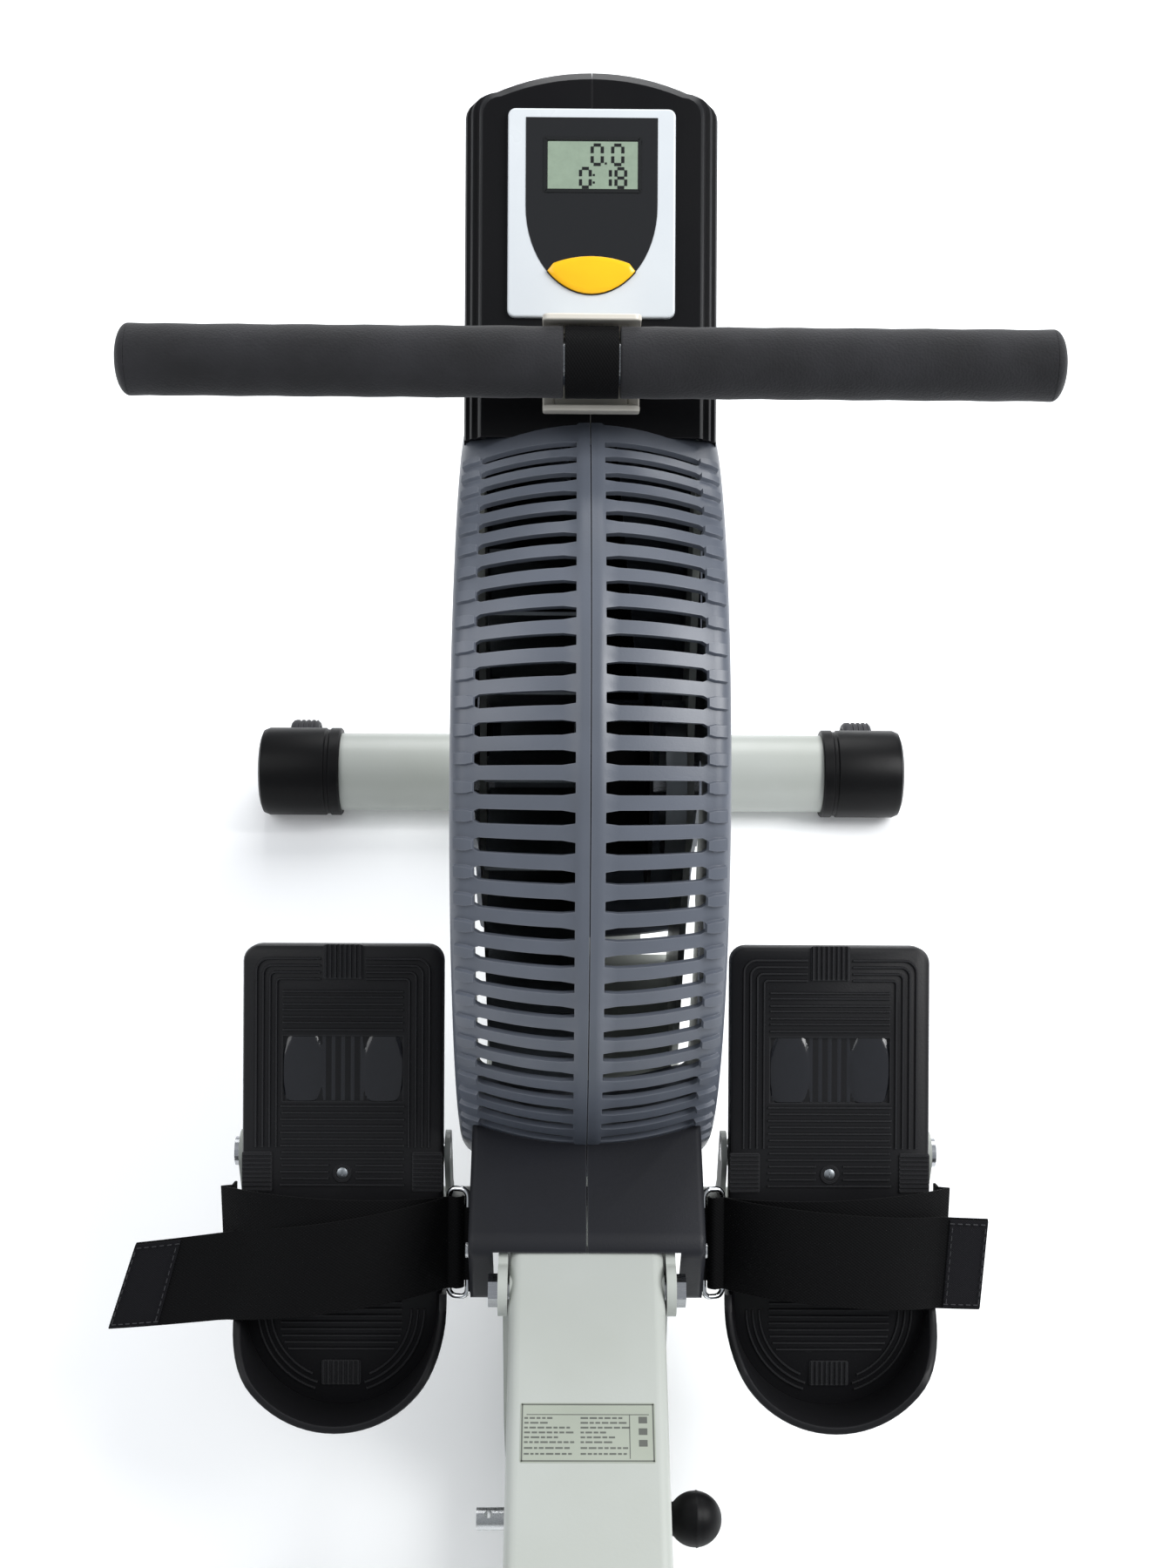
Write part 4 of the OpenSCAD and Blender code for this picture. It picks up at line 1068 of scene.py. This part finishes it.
    # heel cup, lower at its two front ends
    bm = bmesh.new()
    centre = footPlate["half"] - footPlate["heel"]
    outer = footPlate["half"] + footPlate["cupOut"]
    path = [(outer, centre + footPlate["cupFront"] * (1 - n / 4)) for n in range(4)]
    path += arc(0, centre, outer, range(0, -181, -5))
    path += [(-outer, centre + footPlate["cupFront"] * n / 4) for n in range(1, 5)]
    rings = []
    for x, y in path:
        inward = Vector((0, centre)) - Vector((x, y)) if y < centre else Vector((-x, 0))
        inward = inward.normalized() * footPlate["cupWall"]
        rise = min(1.0, max(0.0, (centre + footPlate["cupFront"] - y) / 0.045))
        crest = top + footPlate["cupHeight"] * (0.15 + 0.85 * rise * rise * (3 - 2 * rise))
        flare = Vector((x, y - centre if y < centre else 0)).normalized() * footPlate["cupLean"]
        # share of the wall's thickness, share of the flare, height
        section = ((0, 1, footPlate["bottom"] + 0.003), (0, 0, crest - 0.0016), (0.12, 0, crest - 0.0004),
                   (0.5, 0, crest), (0.88, 0, crest - 0.0004), (1, 0, crest - 0.0016), (1, 1, top - 0.001))
        rings.append([bm.verts.new((*(Vector((x, y)) + inward * wall - flare * out), z))
                      for wall, out, z in section])
    for a, b in zip(rings, rings[1:]):
        for n in range(len(a)):
            m = (n + 1) % len(a)
            bm.faces.new((a[n], a[m], b[m], b[n]))
    bm.faces.new(rings[0])
    bm.faces.new(list(reversed(rings[-1])))
    finishPiece(f"heelCup{word.title()}", bm, body, materials["foot"], (), place, 50)


for word, side in sides:
    makeFootPlate(word, side)
print("foot plates made")


# foot straps

footStrap = {"width": 0.0500, "thickness": 0.0016, "middle": -0.046, "ring": -0.064}


def archHeight(x, lift=0.0):
    return -0.046 + math.sqrt(max(0.0001, 0.0935 ** 2 - (x - 0.003) ** 2)) + lift


def makeFootStrap(word, side, tabX, drop, tabDrop):
    place = pedalFrame(side)
    body = "pedal_" + word
    width = footStrap["width"]
    # under layer: from below the plate's outer edge, over the arch to the ring
    tilt = Vector((side * 0.05, 1, 0)).normalized()
    under = [(Vector((side * 0.0600, footStrap["middle"] + 0.006, z)), Vector((0, 1, 0)))
             for z in (0.010, 0.014, 0.018, 0.021)]
    for n in range(25):
        x = 0.0645 - 0.1260 * n / 24
        y = footStrap["middle"] + 0.006 * (1 - n / 24)
        under.append((Vector((side * x, y, archHeight(x, -0.0012))), tilt))
    ribbon(f"footStrapUnder{word.title()}", under, width, footStrap["thickness"], body, materials["webbing"],
           [f"foot_strap_{word}"], place)

    # upper layer: doubled back through the ring, out past the plate
    upper = [(x, z, 0.0) for x, z in arc(-0.0625, 0.0250, 0.0042, range(200, 99, -25))]
    for n in range(34):
        x = -0.0585 + (tabX + 0.0585) * n / 33
        if x < 0.058:
            z = archHeight(x, 0.0016)
        else:
            z = archHeight(0.058, 0.0016) - (x - 0.058) * 0.16 - (x - 0.058) ** 2 * 1.0
        upper.append((x, z, max(0.0, (x + 0.0585) / (tabX + 0.0585))))
    path = []
    for x, z, share in upper:
        y = footStrap["middle"] + 0.001 - drop * share
        wave = 0.0006 * math.sin(share * 9 + side)
        across = Vector((side * math.sin(tabDrop * share), 1, 0)).normalized()
        path.append((Vector((side * x, y, z + wave)), across))
    ribbon(f"footStrapUpper{word.title()}", path, width, footStrap["thickness"], body, materials["webbing"],
           (), place)

    # sewn hook tape on the loose end
    tab = [(p + Vector((0, 0, 0.0011)), a) for p, a in path[-6:]]
    ribbon(f"hookTape{word.title()}", tab, width - 0.002, 0.0012, body, materials["hookTape"], (), place)
    bm = bmesh.new()
    lift = Vector((0, 0, 0.0019))
    for offset in (-0.44, 0.44):
        stitchLine(bm, [p + a * width * offset + lift for p, a in tab])
    along = (tab[1][0] - tab[0][0]).normalized() * 0.0015
    for (p, a), shift in ((tab[0], along), (tab[-1], -along)):
        stitchLine(bm, [p + shift + a * width * t + lift for t in (-0.43, -0.2, 0, 0.2, 0.43)])
    finishPiece(f"tapeStitching{word.title()}", bm, body, materials["thread"], (), place)


def stitchLine(bm, points, length=0.0026, gap=0.0014, radius=0.00028):
    # short raised threads along a path
    total = sum((a - b).length for a, b in zip(points, points[1:]))
    count = max(1, int(total / (length + gap)))
    for n in range(count):
        start = n * total / count
        a = pointAlong(points, start)
        b = pointAlong(points, start + length)
        middle = (a + b) / 2
        turn = (b - a).to_track_quat("X", "Z").to_matrix().to_4x4()
        disc(bm, radius, (b - a).length, Matrix.Translation(middle) @ turn @ alongX(0, 0, 0), 5)


def pointAlong(points, distance):
    for a, b in zip(points, points[1:]):
        step = (b - a).length
        if distance <= step:
            return a.lerp(b, distance / step)
        distance -= step
    return points[-1].copy()


def wireLoop(bm, points, radius, segments=10):
    # a closed round wire through the points
    count = len(points)
    rings = []
    for n in range(count):
        along = (points[(n + 1) % count] - points[n - 1]).normalized()
        sideways = along.cross(Vector((0.3, 0, 1))).normalized()
        other = along.cross(sideways)
        rings.append([bm.verts.new(points[n] + sideways * radius * math.cos(2 * math.pi * k / segments)
                                   + other * radius * math.sin(2 * math.pi * k / segments))
                      for k in range(segments)])
    for n in range(count):
        a, b = rings[n], rings[(n + 1) % count]
        for k in range(segments):
            bm.faces.new((a[k], a[(k + 1) % segments], b[(k + 1) % segments], b[k]))


def makeStrapRing(word, side):
    bm = bmesh.new()
    points = [Vector((x, y, 0)) for x, y in roundedOutline(0.0112, footStrap["width"] + 0.0090, 0.0042, 5)]
    dense = []
    for a, b in zip(points, points[1:] + points[:1]):
        parts = 4 if (a - b).length > 0.01 else 1
        dense += [a.lerp(b, n / parts) for n in range(parts)]
    wireLoop(bm, dense, 0.0016)
    turn = Matrix.Translation((side * footStrap["ring"], footStrap["middle"], 0.0225)) @ \
        Matrix.Rotation(math.radians(20) * side, 4, "Y")
    finishPiece(f"strapRing{word.title()}", bm, "pedal_" + word, materials["chrome"],
                [f"strap_ring_{word}"], pedalFrame(side) @ turn, 60)
    # the short webbing loop that ties the ring to the plate
    across = Vector((0, 1, 0))
    path = [(Vector((side * x, footStrap["middle"], z)), across)
            for x, z in arc(-0.0690, 0.0225, 0.0030, range(-60, 241, 25))]
    tail, foot = path[0][0], Vector((side * -0.0560, footStrap["middle"], 0.0085))
    for n in range(1, 7):
        path.insert(0, (tail.lerp(foot, n / 6), across))
    ribbon(f"ringLoop{word.title()}", path, 0.040, 0.0014, "pedal_" + word, materials["webbing"], (),
           pedalFrame(side))


makeFootStrap("left", -1, 0.1210, 0.0265, math.radians(-18.6))
makeFootStrap("right", 1, 0.0845, 0.0115, math.radians(5.4))
for word, side in sides:
    makeStrapRing(word, side)
print("foot straps made")


# feet, caps and wheels

feet = (  # name, body, tube radius, half width, y, z
    ("front", "frame", 0.030, 0.248, fanY + 0.267, 0.0325),
    ("mid", "frame", 0.025, 0.200, fanY - 0.412, 0.0275),
    ("rear", "rail", 0.025, 0.200, railRearFoot, 0.0275),
)


def makeEndCaps(name, body, radius, half, y, z):
    for word, side in sides:
        bm = bmesh.new()
        startTurning(bm)
        outer = radius + 0.004
        inner = half - 0.062
        profile = [(radius + 0.0002, inner), (outer - 0.0010, inner), (outer, inner + 0.0010),
                   (outer, inner + 0.0080), (outer - 0.0012, inner + 0.0092),
                   (outer - 0.0012, inner + 0.0112), (outer, inner + 0.0124), (outer, half - 0.0062),
                   (outer - 0.0018, half - 0.0018), (outer - 0.0062, half), (outer * 0.55, half),
                   (outer * 0.5, half - 0.0012), (0, half - 0.0012)]
        turnProfile(bm, profile, alongX(0, y, z, side), 72)
        # a flat to stand on
        for v in bm.verts:
            v.co.z = max(v.co.z, 0.0)
        piece = finishPiece(f"{name}Cap{word.title()}", bm, body, materials["cap"],
                            [f"{name}_end_caps"], None, 40)
        if name == "front":
            slot = bmesh.new()
            disc(slot, wheel["radius"] + 0.0020, wheel["width"] + 0.001, wheelPlace(side), 48)
            cutPiece(piece, [spareShape("wheelSlot", slot)])
            bm = bmesh.new()
            for offset in (-1, 1):
                x = side * wheel["x"] + offset * (wheel["width"] / 2 + 0.003)
                disc(bm, 0.012, 0.005, alongX(x, wheel["y"], wheel["z"]), 36)
                block(bm, (x, wheel["y"] - 0.010, wheel["z"]), (0.005, 0.020, 0.0238))
            lugs = finishPiece(f"wheelFork{word.title()}", bm, body, materials["cap"], ())
            addBevel(lugs, 0.0007, 2)
            bm = bmesh.new()
            disc(bm, 0.0039, wheel["width"] + 0.0125, wheelPlace(side), 24)
            finishPiece(f"wheelPin{word.title()}", bm, body, materials["zinc"], ())


def wheelPlace(side):
    return alongX(side * wheel["x"], wheel["y"], wheel["z"])


wheel = {"radius": 0.022, "width": 0.022, "x": 0.217, "y": fanY + 0.297, "z": 0.028}


def makeWheel(word, side):
    bm = bmesh.new()
    startTurning(bm)
    r, half = wheel["radius"], wheel["width"] / 2
    profile = [(0.0042, -half), (0.0085, -half), (0.0095, -half + 0.0022), (0.0160, -half + 0.0022),
               (0.0175, -half + 0.0002), (r - 0.0022, -half), (r - 0.0004, -half + 0.0018)]
    for n in range(4):
        # tread grooves
        a = -half + 0.0040 + n * 0.0040
        profile += [(r, a), (r, a + 0.0016), (r - 0.0009, a + 0.0022), (r - 0.0009, a + 0.0034)]
    profile += [(r, half - 0.0022), (r - 0.0022, half), (0.0175, half - 0.0002), (0.0160, half - 0.0022),
                (0.0095, half - 0.0022), (0.0085, half), (0.0042, half), (0.0042, -half)]
    turnProfile(bm, profile, wheelPlace(side), 64)
    finishPiece("transportWheel" + word.title(), bm, "wheel_" + word, materials["wheel"],
                [f"transport_wheel_{word}"], None, 35)


for foot in feet:
    makeEndCaps(*foot)
for word, side in sides:
    makeWheel(word, side)
print("feet made")


# rail, label and lock knob

label = {"width": 0.0660, "length": 0.0310, "y": fanY - 0.3880}


def makeLabel():
    bm = bmesh.new()
    prism(bm, roundedOutline(label["width"], label["length"], 0.001, 3), 0, 0.00018)
    place = Matrix.Translation((0, label["y"], railTop))
    finishPiece("railLabel", bm, "rail", materials["label"], (), place)
    bm = bmesh.new()
    w, l = label["width"] / 2, label["length"] / 2
    for x, y, dx, dy in ((0, l - 0.0009, 2 * w - 0.001, 0.0007), (0, -l + 0.0009, 2 * w - 0.001, 0.0007),
                         (-w + 0.0009, 0, 0.0007, 2 * l - 0.001), (w - 0.0009, 0, 0.0007, 2 * l - 0.001),
                         (0, l - 0.0062, 2 * w - 0.006, 0.0004), (0.0205, -0.0022, 0.0004, 0.0225)):
        block(bm, (x, y, 0.00022), (dx, dy, 0.0001))
    random.seed(4)
    for y in (0.0075, 0.0050, 0.0025, 0.0000, -0.0025, -0.0050, -0.0080, -0.0110):
        for start, longest in ((-0.0310, 0.0240), (-0.0035, 0.0220)):
            x = start
            stop = start + longest * random.uniform(0.45, 1.0)
            while x < stop:
                word = random.uniform(0.0015, 0.0042)
                block(bm, (x + word / 2, y, 0.00022), (word, 0.0009, 0.0001))
                x += word + 0.0008
    for y in (0.0065, 0.0005, -0.0055):
        block(bm, (0.0270, y, 0.00022), (0.0042, 0.0034, 0.0001))
    finishPiece("railLabelPrint", bm, "rail", materials["labelInk"], (), place)


def makeKnob():
    bm = bmesh.new()
    startTurning(bm)
    centre, r = 0.054, 0.0135
    profile = [(0.0056, 0.0385), (0.0076, 0.0385), (0.0080, 0.0390), (0.0082, 0.0432)]
    for a in range(-52, 91, 6):
        swell = r * math.cos(math.radians(a))
        profile.append((max(swell, 0.0), centre + r * math.sin(math.radians(a))))
        if a == 2:
            profile += [(r + 0.0003, centre + 0.0004), (r + 0.0003, centre + 0.0010)]
    profile[-1] = (0.0, centre + r)
    turnProfile(bm, profile, alongX(0, fanY - 0.408, 0.205), 48)
    finishPiece("lockKnob", bm, "pin", materials["cap"], ["lock_knob"], None, 50)


makeLabel()
makeKnob()
print("rail parts made")


# seat

seat = {
    "width": 0.290, "length": 0.240, "corner": 0.050, "low": 0.2974, "high": 0.3394, "board": 0.006,
    "cell": 0.005, "pressure": 4.0, "cap": 0.010, "shrink": 0.006,
}


def makeSeat():
    middle = boxMiddle("seat_pad")
    centre = Vector((middle[0], middle[1], 0))
    low = seat["low"] + seat["board"]
    bm = bmesh.new()
    flat = face(bm, roundedOutline(seat["width"] - 2 * seat["shrink"], seat["length"] - 2 * seat["shrink"],
                                   seat["corner"] - seat["shrink"], 10), low)
    top = raiseFace(bm, flat, (0, 0, seat["high"] - low - 0.012))
    insetFace(bm, top, 0.010, 0.004)
    insetFace(bm, top, 0.022, 0.003)
    bmesh.ops.translate(bm, verts=bm.verts, vec=centre)
    pad = finishPiece("seatPad", bm, "seat", materials["vinyl"], ["seat_pad"])
    swellPad(pad, low)
    smooth = pad.modifiers.new("smooth", "SUBSURF")
    smooth.levels = smooth.render_levels = 1

    bm = bmesh.new()
    prism(bm, roundedOutline(seat["width"] - 0.012, seat["length"] - 0.012, seat["corner"] - 0.006, 10),
          seat["low"], low + 0.001)
    bmesh.ops.translate(bm, verts=bm.verts, vec=centre)
    board = finishPiece("seatBoard", bm, "seat", materials["cap"], ())
    addBevel(board, 0.0015, 3)

    # welt round the pad where top and side panels are sewn
    bm = bmesh.new()
    for height, grow, radius in ((seat["high"] - 0.0125, 0.0005, 0.0018), (low + 0.0035, -0.0012, 0.0014)):
        wider = 2 * grow - 2 * seat["shrink"] + 0.008
        outline = roundedOutline(seat["width"] + wider, seat["length"] + wider, seat["corner"] - 0.002, 14)
        dense = []
        for a, b in zip(outline, outline[1:] + outline[:1]):
            a, b = Vector((*a, height)), Vector((*b, height))
            parts = max(1, int((a - b).length / 0.008))
            dense += [a.lerp(b, n / parts) + centre for n in range(parts)]
        dense = [pad.closest_point_on_mesh(point)[1] for point in dense]
        wireLoop(bm, dense, radius, 8)
    finishPiece("seatWelt", bm, "seat", materials["vinyl"], (), None, 60)


def swellPad(pad, low):
    remesh = pad.modifiers.new("cells", "REMESH")
    remesh.mode = "VOXEL"
    remesh.voxel_size = seat["cell"]
    graph = bpy.context.evaluated_depsgraph_get()
    pad.data = bpy.data.meshes.new_from_object(pad.evaluated_get(graph))
    pad.modifiers.clear()
    start = [v.co.copy() for v in pad.data.vertices]
    cloth = pad.modifiers.new("air", "CLOTH")
    cloth.settings.use_pressure = True
    cloth.settings.uniform_pressure_force = seat["pressure"]
    cloth.settings.effector_weights.gravity = 0
    cloth.point_cache.frame_start, cloth.point_cache.frame_end = 1, 20
    scene = bpy.context.scene
    for frameNumber in range(1, 21):
        scene.frame_set(frameNumber)
    graph = bpy.context.evaluated_depsgraph_get()
    mesh = bpy.data.meshes.new_from_object(pad.evaluated_get(graph))
    pad.modifiers.clear()
    for v, before in zip(mesh.vertices, start):
        move = v.co - before
        if move.length > seat["cap"]:
            move *= seat["cap"] / move.length
        v.co = before + move
        v.co.z = max(v.co.z, low)
        v.co.z = min(v.co.z, seat["high"])
    pad.data = mesh
    scene.frame_set(1)
    for polygon in mesh.polygons:
        polygon.use_smooth = True


makeSeat()
print("seat made")


# finishes of the pieces that keep their shape

finishes = {
    "rail": ("rail", "main_beam", "rear_post", "pedal_frame", "front_stabiliser", "mid_stabiliser",
             "rear_foot", "pedal_bracket_left", "pedal_bracket_right", "fan_uprights"),
    "steel": ("pedal_axles", "hinge_bolt", "guide_axle", "fan_axle", "seat_axles", "handle_bar",
              "fan_bearings"),
    "zinc": ("axle_nuts", "lock_pin", "shell_screws", "one_way_clutch"),
    "galvanised": ("recoil_spring_case", "seat_carriage"),
    "aluminium": ("fan_wheel",),
    "roller": ("guide_roller", "front_seat_rollers", "rear_seat_rollers", "lower_seat_rollers"),
    "cap": ("strap_guide", "spool", "speed_sensor", "rail_end_cap"),
    "rubber": ("rail_stops",),
    "webbing": ("strap_coil",),
}
for finish, names in finishes.items():
    for name in names:
        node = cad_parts[name]
        for slot in node.material_slots:
            slot.material = materials[finish]
print("finishes given")


# stage

def makeStage():
    floor = bpy.data.materials.new("paleFloor")
    floor.use_nodes = True
    shader = floor.node_tree.nodes["Principled BSDF"]
    shader.inputs["Base Color"].default_value = colour("#f8f9fa")
    shader.inputs["Roughness"].default_value = 0.7
    shader.inputs["Emission Color"].default_value = colour("#f8f9fa")
    shader.inputs["Emission Strength"].default_value = 0.15
    bm = bmesh.new()
    bmesh.ops.create_grid(bm, x_segments=1, y_segments=1, size=30)
    plane = finishPiece("floor", bm, None, floor)
    world = bpy.data.worlds.new("studio")
    world.use_nodes = True
    world.node_tree.nodes["Background"].inputs["Color"].default_value = (0.9, 0.94, 1.0, 1)
    world.node_tree.nodes["Background"].inputs["Strength"].default_value = 0.5
    bpy.context.scene.world = world
    for name, place, power, size, aim in (
            ("key", (2.1, 0.2, 2.6), 105, 1.8, (0.0, 0.5, 0.3)),
            ("fill", (-1.9, 0.2, 2.4), 30, 2.0, (0.0, 0.4, 0.3)),
            ("back", (0.3, 2.8, 2.0), 45, 1.8, (0.0, 0.6, 0.3))):
        light = bpy.data.lights.new(name, "AREA")
        light.energy = power
        light.size = size
        lamp = bpy.data.objects.new(name, light)
        lamp.location = place
        lamp.rotation_euler = (Vector(aim) - Vector(place)).to_track_quat("-Z", "Y").to_euler()
        bpy.context.collection.objects.link(lamp)
    bpy.context.scene.view_settings.view_transform = "Standard"


makeStage()
print("stage made")
